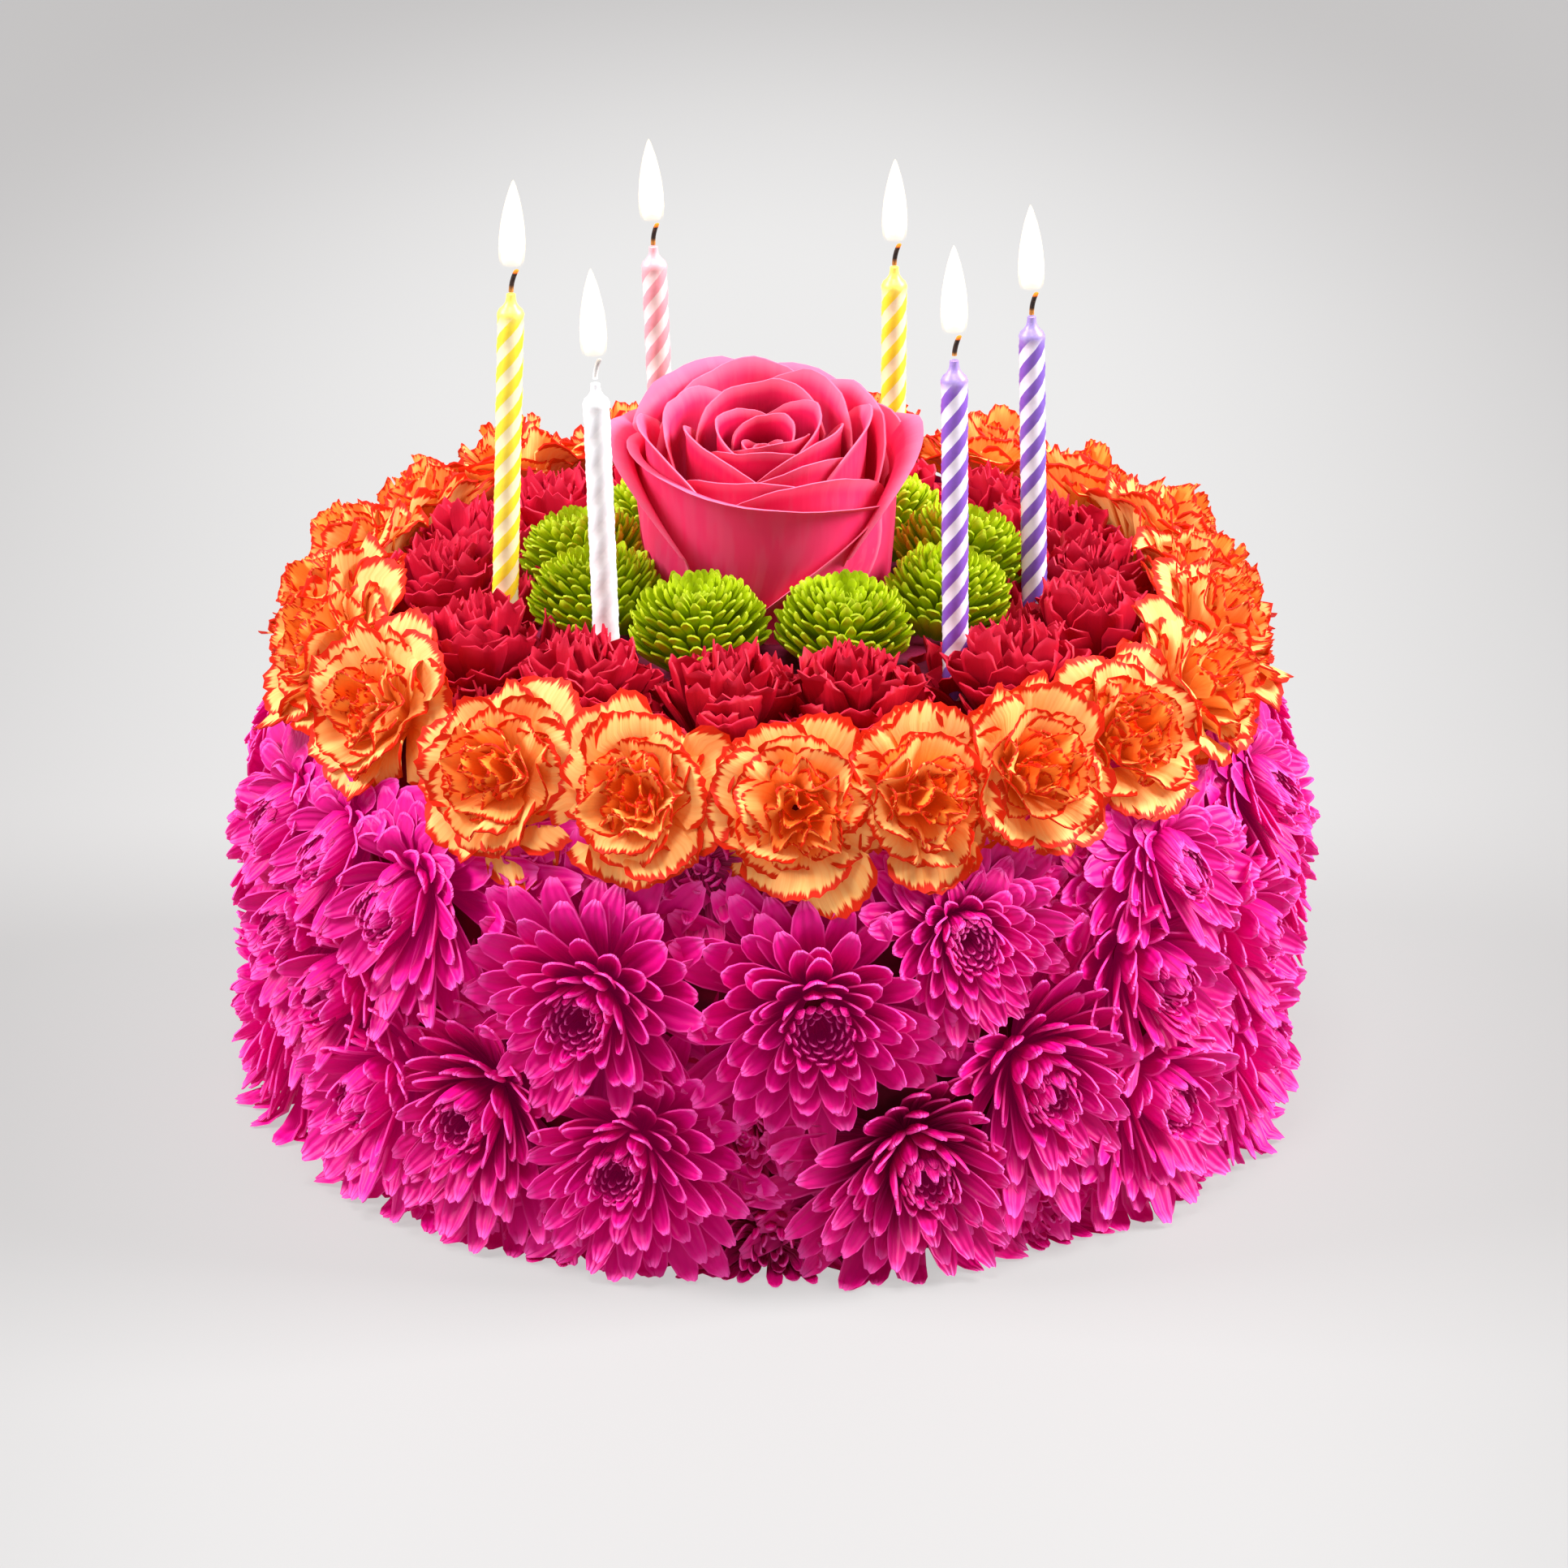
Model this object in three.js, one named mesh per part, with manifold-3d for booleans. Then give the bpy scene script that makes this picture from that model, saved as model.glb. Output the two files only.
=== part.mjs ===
// Birthday cake made of fresh flowers, with six lit candles.
//
// A round wall of magenta chrysanthemums stands on its flat base. Frilled orange carnations run
// round its top edge, then a ring of crimson carnations, a ring of green button chrysanthemums
// and one open rose in the middle. Six candles stand in the crimson ring. A head has its petals
// as facets: three tiers of tips with notches between them.
//
// Millimetres, +Z up, the origin at the centre of the base. An angle is measured round the cake
// from the front (-Y) towards the right (+X).
import * as THREE from "three";
import { ConvexHull } from "three/addons/math/ConvexHull.js";
import { mergeVertices } from "three/addons/utils/BufferGeometryUtils.js";
import Module from "manifold-3d";

const wasm = await Module();
wasm.setup();

// ---- Driving dimensions ----------------------------------------------------------------------
const GAP = 0.3; // air between two neighbouring pieces
const ROUND_SIDES = 32; // sides of the round surfaces that part one ring from the next

// The bed under the flowers: a squat drum with a sloping shoulder.
const BED_RADIUS = 92;
const BED_TOP = 90;
const SHOULDER_RADIUS = 84; // where the flat top ends
const EAVES_RADIUS = 97; // where the slope ends
const EAVES_HEIGHT = 79.7; // top edge of the chrysanthemum wall
const OUTSIDE = 125; // beyond every petal
const HEADROOM = 130; // above every flower but the rose

// Petals: how far out and how deep the notch between two tips lies, as shares of the head.
const NOTCH_REACH = 0.84;
const NOTCH_DEPTH = 0.13;
const BACK_REACH = 0.86; // where the backs of the outer petals are, as a share of the head
const BACK_DEPTH = 0.4; // how far down its root, as a share
const BACK_SIDES = 5;
const MARK_SPACING = 2.6; // least distance between tips and notches of packed heads

// Radii that part the rings on the flat top.
const CRIMSON_INNER = 50.3;
const CRIMSON_OUTER = 80.4;
const BUTTON_INNER = 28.8;

// Chrysanthemums of the wall: [angle, height, radius of the head].
const WALL_HEADS = [
  [5, 55, 28.5],
  [-20, 55, 27],
  [21, 70, 23],
  [30, 38, 25],
  [46, 53, 25],
  [47, 27, 24],
  [50, 73, 23],
  [16, 25, 23],
  [-16, 25, 24],
  [-34, 30, 25],
  [-45, 68, 26],
  [-57, 72, 24],
  [-55, 45, 25],
];
const WALL_ROWS = [
  { from: 70, to: 310, heads: 9, height: 25, radius: 25 },
  { from: 66, to: 293, heads: 9, height: 49, radius: 26 },
  { from: 76, to: 288, heads: 8, height: 71, radius: 25 },
];
const WALL_RADIUS = 104; // at which the wall is unrolled
const WALL_MARGIN = 2.5; // above the foot and below the eaves
const HEM_RADIUS = 104.5; // of the petal tips along the foot and under the eaves
const HEM_NOTCH = 4;
const FOOT_PETALS = 76;
const EAVES_PETALS = 64;
const WALL_TIERS = [
  { petals: 13, reach: 1.0, lift: 9.5 },
  { petals: 11, reach: 0.74, lift: 15.5 },
  { petals: 7, reach: 0.42, lift: 19 },
];

// Orange carnations along the top edge.
const ORANGE_FRONT = [-58, -34, -15.5, 3, 17.5, 31.5, 49];
const ORANGE_HEADS = 21;
const ORANGE_RADIUS = 18.5; // of a head
const ORANGE_RING = 89; // radius of the circle their roots stand on
const ORANGE_ASIDE = 4; // how much less it is at both sides
const ORANGE_ROOT = 93.5; // height of that circle at the front
const ORANGE_CLIMB = 9; // how much higher it is at the back
const ORANGE_FACING = 22; // degrees above level at the front
const ORANGE_FACING_CLIMB = 28; // how many degrees more at the back
const ORANGE_STEM = 6; // below the root at the front
const ORANGE_STEM_CLIMB = 12; // how much longer it is at the back
const ORANGE_TIERS = [
  { petals: 8, reach: 1.0, lift: 7 },
  { petals: 7, reach: 0.74, lift: 12.4 },
  { petals: 5, reach: 0.42, lift: 15 },
];

// Crimson carnations.
const CRIMSON_FRONT = [-92, -62, -34, -7, 14, 45, 72, 95];
const CRIMSON_HEADS = 15;
const CRIMSON_RADIUS = 16.5;
const CRIMSON_RING = 65.5;
const CRIMSON_TIERS = [
  { petals: 8, reach: 1.0, lift: 11.5 },
  { petals: 7, reach: 0.72, lift: 17.5 },
  { petals: 5, reach: 0.38, lift: 19 },
];
const CRIMSON_ROOT = 95;
const CRIMSON_BED = 99; // top of the packed stems between the heads
const CRIMSON_NOTCH = 1.5; // between the petals of its outer edge

// Green button chrysanthemums.
const BUTTON_ANGLES = [-22, 21, 63, 103, 142, 180, -142, -103, -64];
const BUTTON_RADIUS = 13.4;
const BUTTON_RING = 37.6;
const BUTTON_ROOT = 102;
const BUTTON_STEM = 12.5; // below the root, down to the bed
const BUTTON_TIERS = [
  { petals: 10, reach: 1.0, lift: 10 },
  { petals: 9, reach: 0.82, lift: 15 },
  { petals: 6, reach: 0.48, lift: 18 },
];

// Rose: a solid heart with petals round it, leaning a little to the front. Each petal faces an
// angle and spans another, starts on a circle and a height, and opens to its rim. Its rim bends
// outwards by its curl and falls away to both sides by its drop.
const ROSE_PLACE = new THREE.Vector3(-1.6, 1.5, 0);
const ROSE_LEAN = 8; // degrees
const ROSE_LEAN_AT = 100; // height of the point it leans about
const ROSE_HEART = [
  [0, BED_TOP + 2],
  [9, BED_TOP + 2],
  [17, 97],
  [22, 106],
  [24, 116],
  [24, 127],
  [17, 134],
  [9, 138],
  [0, 139],
];
const ROSE_PETALS = [
  { faces: -92, spans: 138, foot: 18, rim: 30.5, from: 98, top: 141, curl: 4, drop: 0.24 },
  { faces: 92, spans: 118, foot: 18, rim: 30.5, from: 98, top: 140, curl: 3.5, drop: 0.24 },
  { faces: 178, spans: 150, foot: 19, rim: 28, from: 98, top: 143, curl: 3, drop: 0.2 },
  { faces: -8, spans: 158, foot: 22, rim: 27.5, from: 98, top: 136, curl: 2.2, drop: 0.12 },
  { faces: 50, spans: 124, foot: 22.5, rim: 28, from: 98, top: 138, curl: 1.6, drop: 0.66 },
  { faces: -140, spans: 128, foot: 19, rim: 25, from: 112, top: 146, curl: 2, drop: 0.2 },
  { faces: 135, spans: 128, foot: 19, rim: 24, from: 112, top: 146.5, curl: 1.6, drop: 0.2 },
  { faces: 0, spans: 150, foot: 19, rim: 21.5, from: 112, top: 141, curl: 1, drop: 0.2 },
  { faces: -70, spans: 150, foot: 12, rim: 17, from: 122, top: 144.5, curl: 0.8, drop: 0.2 },
  { faces: 60, spans: 150, foot: 12, rim: 16, from: 122, top: 143.5, curl: 0.8, drop: 0.2 },
  { faces: 180, spans: 160, foot: 12, rim: 14.5, from: 122, top: 145.5, curl: 0.6, drop: 0.2 },
  { faces: 20, spans: 250, foot: 7, rim: 8.5, from: 128, top: 142.5, curl: 0.3, drop: 0.1 },
];
const ROSE_PETAL_THICKNESS = 1.1;
const ROSE_COLUMNS = 4;
const ROSE_ROWS = 3;

// Candles: where each stands at the height of the flowers, how far its wax reaches up,
// and how many degrees it leans to the right.
const CANDLES = [
  { name: "yellow_left", x: -53.1, y: -23, top: 171.5, lean: 2.0, wax: 0xffe733 },
  { name: "white", x: -32.4, y: -45, top: 160, lean: -1.7, wax: 0xf6f4f2 },
  { name: "pink", x: -22.9, y: 48, top: 161, lean: -2.0, wax: 0xf7a9b6 },
  { name: "yellow_right", x: 25.1, y: 45, top: 157.5, lean: 0, wax: 0xffe733 },
  { name: "purple_front", x: 35.8, y: -43, top: 164, lean: -0.8, wax: 0x7d4fbd },
  { name: "purple_right", x: 52.8, y: -3, top: 161, lean: -1.4, wax: 0x7d4fbd },
];
const CANDLE_RADIUS = 2.85;
const CANDLE_SIDES = 9;
const FLOWER_LEVEL = 112; // the height at which x and y of a candle are given
const CANDLE_FOOT = 99;
const CANDLE_HOLE_TOP = 122; // above the flowers that a candle stands among
const NECK_RADIUS = 0.95;
const NECK_LENGTH = 3.8;
const WICK_RADIUS = 0.55;
const WICK_LENGTH = 4.6;
const WICK_BEND = 1.0;
const FLAME_LENGTH = 17.6;
const FLAME_RADIUS = 2.75;

// ---- Helpers ---------------------------------------------------------------------------------

// A fixed scatter from -1 to 1, the same each time for the same number.
function vary(n) {
  const s = Math.sin(n * 12.9898 + 4.1414) * 43758.5453;
  return 2 * (s - Math.floor(s)) - 1;
}

// A closed geometry with its shared corners merged, and without the empty faces at its poles.
function closed(geometry) {
  const bare = new THREE.BufferGeometry();
  bare.setAttribute("position", geometry.getAttribute("position"));
  bare.setIndex(geometry.getIndex());
  const merged = mergeVertices(bare, 1e-4);
  const corners = merged.getIndex().array;
  const faces = [];
  for (let i = 0; i < corners.length; i += 3) {
    const [a, b, c] = [corners[i], corners[i + 1], corners[i + 2]];
    if (a !== b && b !== c && c !== a) faces.push(a, b, c);
  }
  return merged.setIndex(faces);
}

// A closed geometry as a solid that can be joined and cut.
function solid(geometry) {
  const vertProperties = geometry.getAttribute("position").array;
  const triVerts = new Uint32Array(geometry.getIndex().array);
  return new wasm.Manifold(new wasm.Mesh({ numProp: 3, vertProperties, triVerts }));
}

function joined(solids) {
  return solids.reduce((whole, next) => whole.add(next));
}

// The largest body alone: scraps fall away, and a hollow that joining sealed is filled.
function oneBody(whole) {
  return whole.decompose().reduce((best, body) => (body.volume() > best.volume() ? body : best));
}

// A named mesh of a finished solid.
function piece(name, whole, material) {
  const { numProp, vertProperties, triVerts } = oneBody(whole).getMesh();
  const points = [];
  for (let i = 0; i < vertProperties.length; i += numProp) {
    points.push(vertProperties[i], vertProperties[i + 1], vertProperties[i + 2]);
  }
  const geometry = new THREE.BufferGeometry();
  geometry.setAttribute("position", new THREE.Float32BufferAttribute(points, 3));
  geometry.setIndex(new THREE.BufferAttribute(triVerts, 1));
  const mesh = new THREE.Mesh(geometry, material);
  mesh.name = name;
  return mesh;
}

// A solid of revolution about Z from [radius, height] points that start and end on the axis.
function turned(points, sides) {
  const profile = points.map(([radius, height]) => new THREE.Vector2(radius, height));
  return closed(new THREE.LatheGeometry(profile, sides)).rotateX(Math.PI / 2);
}

// A square-cut ring about Z.
function ring(inner, outer, bottom, top) {
  const outline = [[inner, bottom], [outer, bottom], [outer, top], [inner, top], [inner, bottom]];
  return solid(turned(outline, ROUND_SIDES));
}

// Moves each point of a geometry to where a function puts it.
function shaped(geometry, place) {
  const position = geometry.getAttribute("position");
  const point = new THREE.Vector3();
  for (let i = 0; i < position.count; i += 1) {
    point.fromBufferAttribute(position, i);
    place(point);
    position.setXYZ(i, point.x, point.y, point.z);
  }
  return geometry;
}

// Puts a flower that grows along +Z on a circle round the cake: facing 0 looks level outwards,
// facing 90 looks up.
function station({ angle, radius, height, facing, spin = 0 }) {
  const place = new THREE.Matrix4().makeRotationZ(THREE.MathUtils.degToRad(spin));
  place.premultiply(new THREE.Matrix4().makeRotationX(THREE.MathUtils.degToRad(90 - facing)));
  place.premultiply(new THREE.Matrix4().makeTranslation(0, -radius, height));
  return place.premultiply(new THREE.Matrix4().makeRotationZ(THREE.MathUtils.degToRad(angle)));
}

// A point at an angle from the front, a distance from the axis and a height.
function around(angle, radius, height) {
  return new THREE.Vector3(radius * Math.sin(angle), -radius * Math.cos(angle), height);
}

// A sample of a flowery surface: its true point, and its spot on a ball, at the same angle and at
// a polar angle of its own. The spots only decide which samples are neighbours.
function sample(angle, polar, radius, height) {
  const spot = around(angle, Math.sin(polar), Math.cos(polar));
  return { spot, point: around(angle, radius, height) };
}

// Samples evenly round a circle, at one radius for petal tips and one for the notches between.
function circle(count, polar, tipRadius, notchRadius, height) {
  return Array.from({ length: count }, (_, i) =>
    sample((2 * Math.PI * i) / count, polar, i % 2 === 0 ? tipRadius : notchRadius, height));
}

// The closed faceted skin through the samples: the hull of their spots, moved to their points.
function skin(samples) {
  const hull = new ConvexHull().setFromPoints(samples.map(({ spot }) => spot));
  const number = new Map(samples.map(({ spot }, i) => [spot, i]));
  const corners = hull.faces.flatMap(({ edge }) => [edge, edge.next, edge.next.next]);
  const geometry = new THREE.BufferGeometry().setFromPoints(samples.map(({ point }) => point));
  return geometry.setIndex(corners.map((edge) => number.get(edge.head().point)));
}

// Tips and notches of the petals of a flower head, from its middle outwards: the direction each
// lies in, how far out, and how high over the root.
function petalMarks(tiers, radius, spin) {
  const last = tiers[tiers.length - 1];
  const marks = [{ turn: 0, reach: 0, lift: last.lift - 0.1 * radius }];
  tiers.forEach(({ petals, reach, lift }, k) => {
    for (let i = 0; i < 2 * petals; i += 1) {
      const turn = spin + (Math.PI * (i + k / 2)) / petals;
      const tip = i % 2 === 0;
      const out = reach * radius * (tip ? 1 : NOTCH_REACH);
      marks.push({ turn, reach: out, lift: lift - (tip ? 0 : NOTCH_DEPTH * radius) });
    }
  });
  return marks;
}

// One flower head as a solid, with the backs of its outer petals round a pointed stem. On the
// ball the tips reach a little past the equator, and the backs lie half way on to the pole.
function bloom(tiers, radius, stem, where) {
  const tipPolar = THREE.MathUtils.degToRad(100);
  const backPolar = THREE.MathUtils.degToRad(135);
  const back = BACK_REACH * radius;
  return solid(skin([
    ...petalMarks(tiers, radius, 0).map(({ turn, reach, lift }) =>
      sample(turn, (tipPolar * reach) / radius, reach, lift)),
    ...circle(BACK_SIDES, backPolar, back, back, -BACK_DEPTH * stem),
    sample(0, Math.PI, 0, -stem),
  ]).applyMatrix4(where));
}

// Marks of many heads on one surface, unrolled to (u, v). Where two heads overlap, each keeps
// the side nearer to its middle. The surface may close on itself after a lap of u.
function crowd(heads, lap = Number.MAX_SAFE_INTEGER) {
  const kept = [];
  const distance = (u, v, other) => {
    const du = u - other.u;
    return Math.hypot(du - lap * Math.round(du / lap), v - other.v);
  };
  heads.forEach((head) => {
    head.marks.forEach(({ turn, reach, lift }) => {
      const u = head.u + reach * Math.cos(turn);
      const v = head.v + reach * Math.sin(turn);
      const hidden = heads.some((other) => other !== head
        && distance(u, v, other) / other.radius < reach / head.radius);
      const crowded = kept.some((other) => distance(u, v, other) < MARK_SPACING);
      if (!hidden && !crowded) kept.push({ u, v, lift });
    });
  });
  return kept;
}

// The slice of the cake between two angles, a little inside both.
function slice(from, to, bottom, top) {
  const half = THREE.MathUtils.degToRad((to - from) / 2);
  const apex = GAP / 2 / Math.sin(half);
  const wide = OUTSIDE * Math.tan(half);
  const outline = new THREE.Shape([
    new THREE.Vector2(0, -apex),
    new THREE.Vector2(-wide, -apex - OUTSIDE),
    new THREE.Vector2(wide, -apex - OUTSIDE),
  ]);
  const prism = new THREE.ExtrudeGeometry(outline, { depth: top - bottom, bevelEnabled: false });
  prism.translate(0, 0, bottom);
  return solid(closed(prism).rotateZ(THREE.MathUtils.degToRad((from + to) / 2)));
}

// Angles of a ring: the given ones, then evenly spaced ones through the rest of the circle.
function roundFrom(given, count) {
  const first = given[0] + 360;
  const last = given[given.length - 1];
  const rest = count - given.length;
  const step = (first - last) / (rest + 1);
  return given.concat(Array.from({ length: rest }, (_, k) => last + step * (k + 1)));
}

function petalMaterial(color) {
  return new THREE.MeshStandardMaterial({ color, roughness: 0.6, metalness: 0 });
}

const cake = new THREE.Group();

// ---- Chrysanthemum wall ----------------------------------------------------------------------
const wallPlaces = WALL_HEADS.slice();
WALL_ROWS.forEach(({ from, to, heads, height, radius }, row) => {
  for (let k = 0; k < heads; k += 1) {
    const n = 10 * row + k;
    const angle = from + ((to - from) * k) / (heads - 1) + 2 * vary(n);
    wallPlaces.push([angle, height + 3 * vary(n + 40), radius + vary(n + 80)]);
  }
});
const wallHeads = wallPlaces.map(([angle, height, radius], n) => ({
  u: WALL_RADIUS * THREE.MathUtils.degToRad(angle),
  v: height,
  radius,
  marks: petalMarks(WALL_TIERS, radius, Math.PI * vary(n + 160)),
}));
const wallMarks = crowd(wallHeads, 2 * Math.PI * WALL_RADIUS)
  .filter(({ v }) => v > WALL_MARGIN && v < EAVES_HEIGHT - WALL_MARGIN);

// On the ball the wall is a belt round the equator, at the same scale both ways. The rims of its
// flat ends lie on beyond its edges.
const beltPolar = (height) => Math.PI / 2 - (height - EAVES_HEIGHT / 2) / WALL_RADIUS;
const footPolar = beltPolar(-2);
const eavesPolar = beltPolar(EAVES_HEIGHT + 8);
const shoulderPolar = beltPolar(EAVES_HEIGHT + 22);
const hemNotch = HEM_RADIUS - HEM_NOTCH;
const wall = solid(skin([
  ...wallMarks.map(({ u, v, lift }) =>
    sample(u / WALL_RADIUS, beltPolar(v), BED_RADIUS + lift, v)),
  sample(0, Math.PI, 0, 0),
  ...circle(FOOT_PETALS, footPolar, HEM_RADIUS, hemNotch, 0),
  ...circle(EAVES_PETALS, beltPolar(EAVES_HEIGHT), HEM_RADIUS, hemNotch, EAVES_HEIGHT),
  ...circle(ROUND_SIDES, eavesPolar, EAVES_RADIUS, EAVES_RADIUS, EAVES_HEIGHT),
  ...circle(ROUND_SIDES, shoulderPolar, SHOULDER_RADIUS, SHOULDER_RADIUS, BED_TOP),
  sample(0, 0, 0, BED_TOP),
]));
cake.add(piece("chrysanthemum_wall", wall, petalMaterial(0xcf1488)));

// ---- Orange carnations -----------------------------------------------------------------------
// They stand above the shoulder of the bed and outside the crimson ring. Towards the back the
// ring climbs and its heads look more upwards.
const orangeLimits = solid(turned([
  [CRIMSON_OUTER + GAP, BED_TOP + GAP],
  [SHOULDER_RADIUS, BED_TOP + GAP],
  [EAVES_RADIUS, EAVES_HEIGHT + GAP],
  [OUTSIDE, EAVES_HEIGHT + GAP],
  [OUTSIDE, HEADROOM],
  [CRIMSON_OUTER + GAP, HEADROOM],
  [CRIMSON_OUTER + GAP, BED_TOP + GAP],
], ROUND_SIDES));

const orangeAngles = roundFrom(ORANGE_FRONT, ORANGE_HEADS);
orangeAngles.forEach((angle, n) => {
  const before = n === 0 ? orangeAngles[ORANGE_HEADS - 1] - 360 : orangeAngles[n - 1];
  const after = n === ORANGE_HEADS - 1 ? orangeAngles[0] + 360 : orangeAngles[n + 1];
  const aside = Math.sin(THREE.MathUtils.degToRad(angle)) ** 2;
  const climb = (1 - Math.cos(THREE.MathUtils.degToRad(angle))) / 2;
  const where = station({
    angle,
    radius: ORANGE_RING - ORANGE_ASIDE * aside + 0.8 * vary(n + 200),
    height: ORANGE_ROOT + ORANGE_CLIMB * climb + 1.2 * vary(n + 230),
    facing: ORANGE_FACING + ORANGE_FACING_CLIMB * climb + 7 * vary(n + 260),
    spin: 180 * vary(n + 290),
  });
  const radius = ORANGE_RADIUS + 0.7 * vary(n + 320);
  const stem = ORANGE_STEM + ORANGE_STEM_CLIMB * climb;
  const room = slice((before + angle) / 2, (angle + after) / 2, EAVES_HEIGHT, HEADROOM);
  const flower = bloom(ORANGE_TIERS, radius, stem, where).intersect(orangeLimits).intersect(room);
  cake.add(piece(`orange_carnation_${n + 1}`, flower, petalMaterial(0xf99a4a)));
});

// ---- Candles, wicks and flames ---------------------------------------------------------------
// Each candle is turned about its own axis, then leant and set among the flowers.
function candlePlace({ x, y, lean }) {
  const place = new THREE.Matrix4().makeRotationY(THREE.MathUtils.degToRad(lean));
  return place.premultiply(new THREE.Matrix4().makeTranslation(x, y, FLOWER_LEVEL));
}

function candleShape(top) {
  const foot = CANDLE_FOOT - FLOWER_LEVEL;
  const shoulder = top - FLOWER_LEVEL;
  return turned([
    [0, foot],
    [CANDLE_RADIUS, foot],
    [CANDLE_RADIUS, shoulder - 0.8],
    [0.62 * CANDLE_RADIUS, shoulder + 0.5],
    [NECK_RADIUS, shoulder + 0.45 * NECK_LENGTH],
    [NECK_RADIUS, shoulder + NECK_LENGTH],
    [0, shoulder + NECK_LENGTH],
  ], CANDLE_SIDES);
}

const candleHoles = CANDLES.map((candle) => {
  const bottom = CANDLE_FOOT - FLOWER_LEVEL - GAP;
  const top = CANDLE_HOLE_TOP - FLOWER_LEVEL;
  const radius = CANDLE_RADIUS + GAP;
  const hole = turned([[0, bottom], [radius, bottom], [radius, top], [0, top]], CANDLE_SIDES);
  return solid(hole.applyMatrix4(candlePlace(candle)));
});

const wickPath = new THREE.CatmullRomCurve3([
  new THREE.Vector3(0, 0, 0),
  new THREE.Vector3(0.1, 0, 0.55 * WICK_LENGTH),
  new THREE.Vector3(WICK_BEND, 0, WICK_LENGTH),
]);
const wickSection = new THREE.Shape();
wickSection.absarc(0, 0, WICK_RADIUS, 0, 2 * Math.PI);

CANDLES.forEach((candle) => {
  const place = candlePlace(candle);
  const neckTop = candle.top - FLOWER_LEVEL + NECK_LENGTH;
  const wax = new THREE.MeshStandardMaterial({ color: candle.wax, roughness: 0.4 });
  cake.add(piece(`candle_${candle.name}`, solid(candleShape(candle.top).applyMatrix4(place)), wax));

  const wick = closed(new THREE.ExtrudeGeometry(wickSection, {
    steps: 3,
    curveSegments: 3,
    bevelEnabled: false,
    extrudePath: wickPath,
  }));
  wick.translate(0, 0, neckTop + GAP).applyMatrix4(place);
  const char = new THREE.MeshStandardMaterial({ color: 0x2a1a14, roughness: 0.9 });
  cake.add(piece(`wick_${candle.name}`, solid(wick), char));

  const foot = neckTop + WICK_LENGTH + 3 * GAP;
  const flame = turned([
    [0, foot],
    [0.72 * FLAME_RADIUS, foot + 0.08 * FLAME_LENGTH],
    [FLAME_RADIUS, foot + 0.27 * FLAME_LENGTH],
    [0.8 * FLAME_RADIUS, foot + 0.52 * FLAME_LENGTH],
    [0.36 * FLAME_RADIUS, foot + 0.8 * FLAME_LENGTH],
    [0, foot + FLAME_LENGTH],
  ], 8);
  const glow = new THREE.MeshStandardMaterial({ color: 0xfff3b0, emissive: 0xffe08a });
  cake.add(piece(`flame_${candle.name}`, solid(flame.applyMatrix4(place)), glow));
});

// ---- Crimson carnations ----------------------------------------------------------------------
// One packed ring: a round heap with the middle and the candles' holes cut out of it.
const crimsonHeads = roundFrom(CRIMSON_FRONT, CRIMSON_HEADS).map((angle, n) => {
  const centre = around(THREE.MathUtils.degToRad(angle), CRIMSON_RING + 1.5 * vary(n + 400), 0);
  const radius = CRIMSON_RADIUS + vary(n + 430);
  const marks = petalMarks(CRIMSON_TIERS, radius, Math.PI * vary(n + 460));
  return { u: centre.x, v: centre.y, radius, marks };
});
const crimsonMarks = crowd(crimsonHeads)
  .map(({ u, v, lift }) => ({ angle: Math.atan2(u, -v), radius: Math.hypot(u, v), lift }))
  .filter(({ radius }) => radius < CRIMSON_OUTER - CRIMSON_NOTCH);
const crimsonFloor = BED_TOP + GAP;
const crimsonNotch = CRIMSON_OUTER - CRIMSON_NOTCH;

// On the ball the heap is a cap, and the rim of its floor lies on beyond its edge.
const capPolar = (radius) => radius / CRIMSON_OUTER;
const floorPolar = capPolar(CRIMSON_OUTER + 8);
const crimsonHeap = solid(skin([
  ...crimsonMarks.map(({ angle, radius, lift }) =>
    sample(angle, capPolar(radius), radius, CRIMSON_ROOT + lift)),
  sample(0, 0, 0, CRIMSON_BED),
  ...circle(ROUND_SIDES, capPolar(CRIMSON_OUTER), CRIMSON_OUTER, crimsonNotch, CRIMSON_BED),
  ...circle(ROUND_SIDES, floorPolar, CRIMSON_OUTER, CRIMSON_OUTER, crimsonFloor),
  sample(0, Math.PI, 0, crimsonFloor),
]));
const middle = solid(turned([
  [0, BED_TOP],
  [CRIMSON_INNER, BED_TOP],
  [CRIMSON_INNER, HEADROOM],
  [0, HEADROOM],
], ROUND_SIDES));
const crimson = crimsonHeap.subtract(middle).subtract(joined(candleHoles));
cake.add(piece("crimson_carnations", crimson, petalMaterial(0xb5173f)));

// ---- Green button chrysanthemums -------------------------------------------------------------
const buttonLimits = ring(BUTTON_INNER, CRIMSON_INNER - GAP, BED_TOP + GAP, HEADROOM);
const buttonAngles = BUTTON_ANGLES.map((angle) => (angle + 360) % 360).sort((a, b) => a - b);
buttonAngles.forEach((angle, n) => {
  const count = buttonAngles.length;
  const before = n === 0 ? buttonAngles[count - 1] - 360 : buttonAngles[n - 1];
  const after = n === count - 1 ? buttonAngles[0] + 360 : buttonAngles[n + 1];
  const where = station({
    angle,
    radius: BUTTON_RING,
    height: BUTTON_ROOT,
    facing: 82 + 5 * vary(n + 500),
    spin: 180 * vary(n + 530),
  });
  const radius = BUTTON_RADIUS + 0.5 * vary(n + 560);
  const room = slice((before + angle) / 2, (angle + after) / 2, BED_TOP, HEADROOM);
  const flower = bloom(BUTTON_TIERS, radius, BUTTON_STEM, where).intersect(buttonLimits).intersect(room)
    .subtract(joined(candleHoles));
  cake.add(piece(`green_button_${n + 1}`, flower, petalMaterial(0x93b81f)));
});

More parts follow.
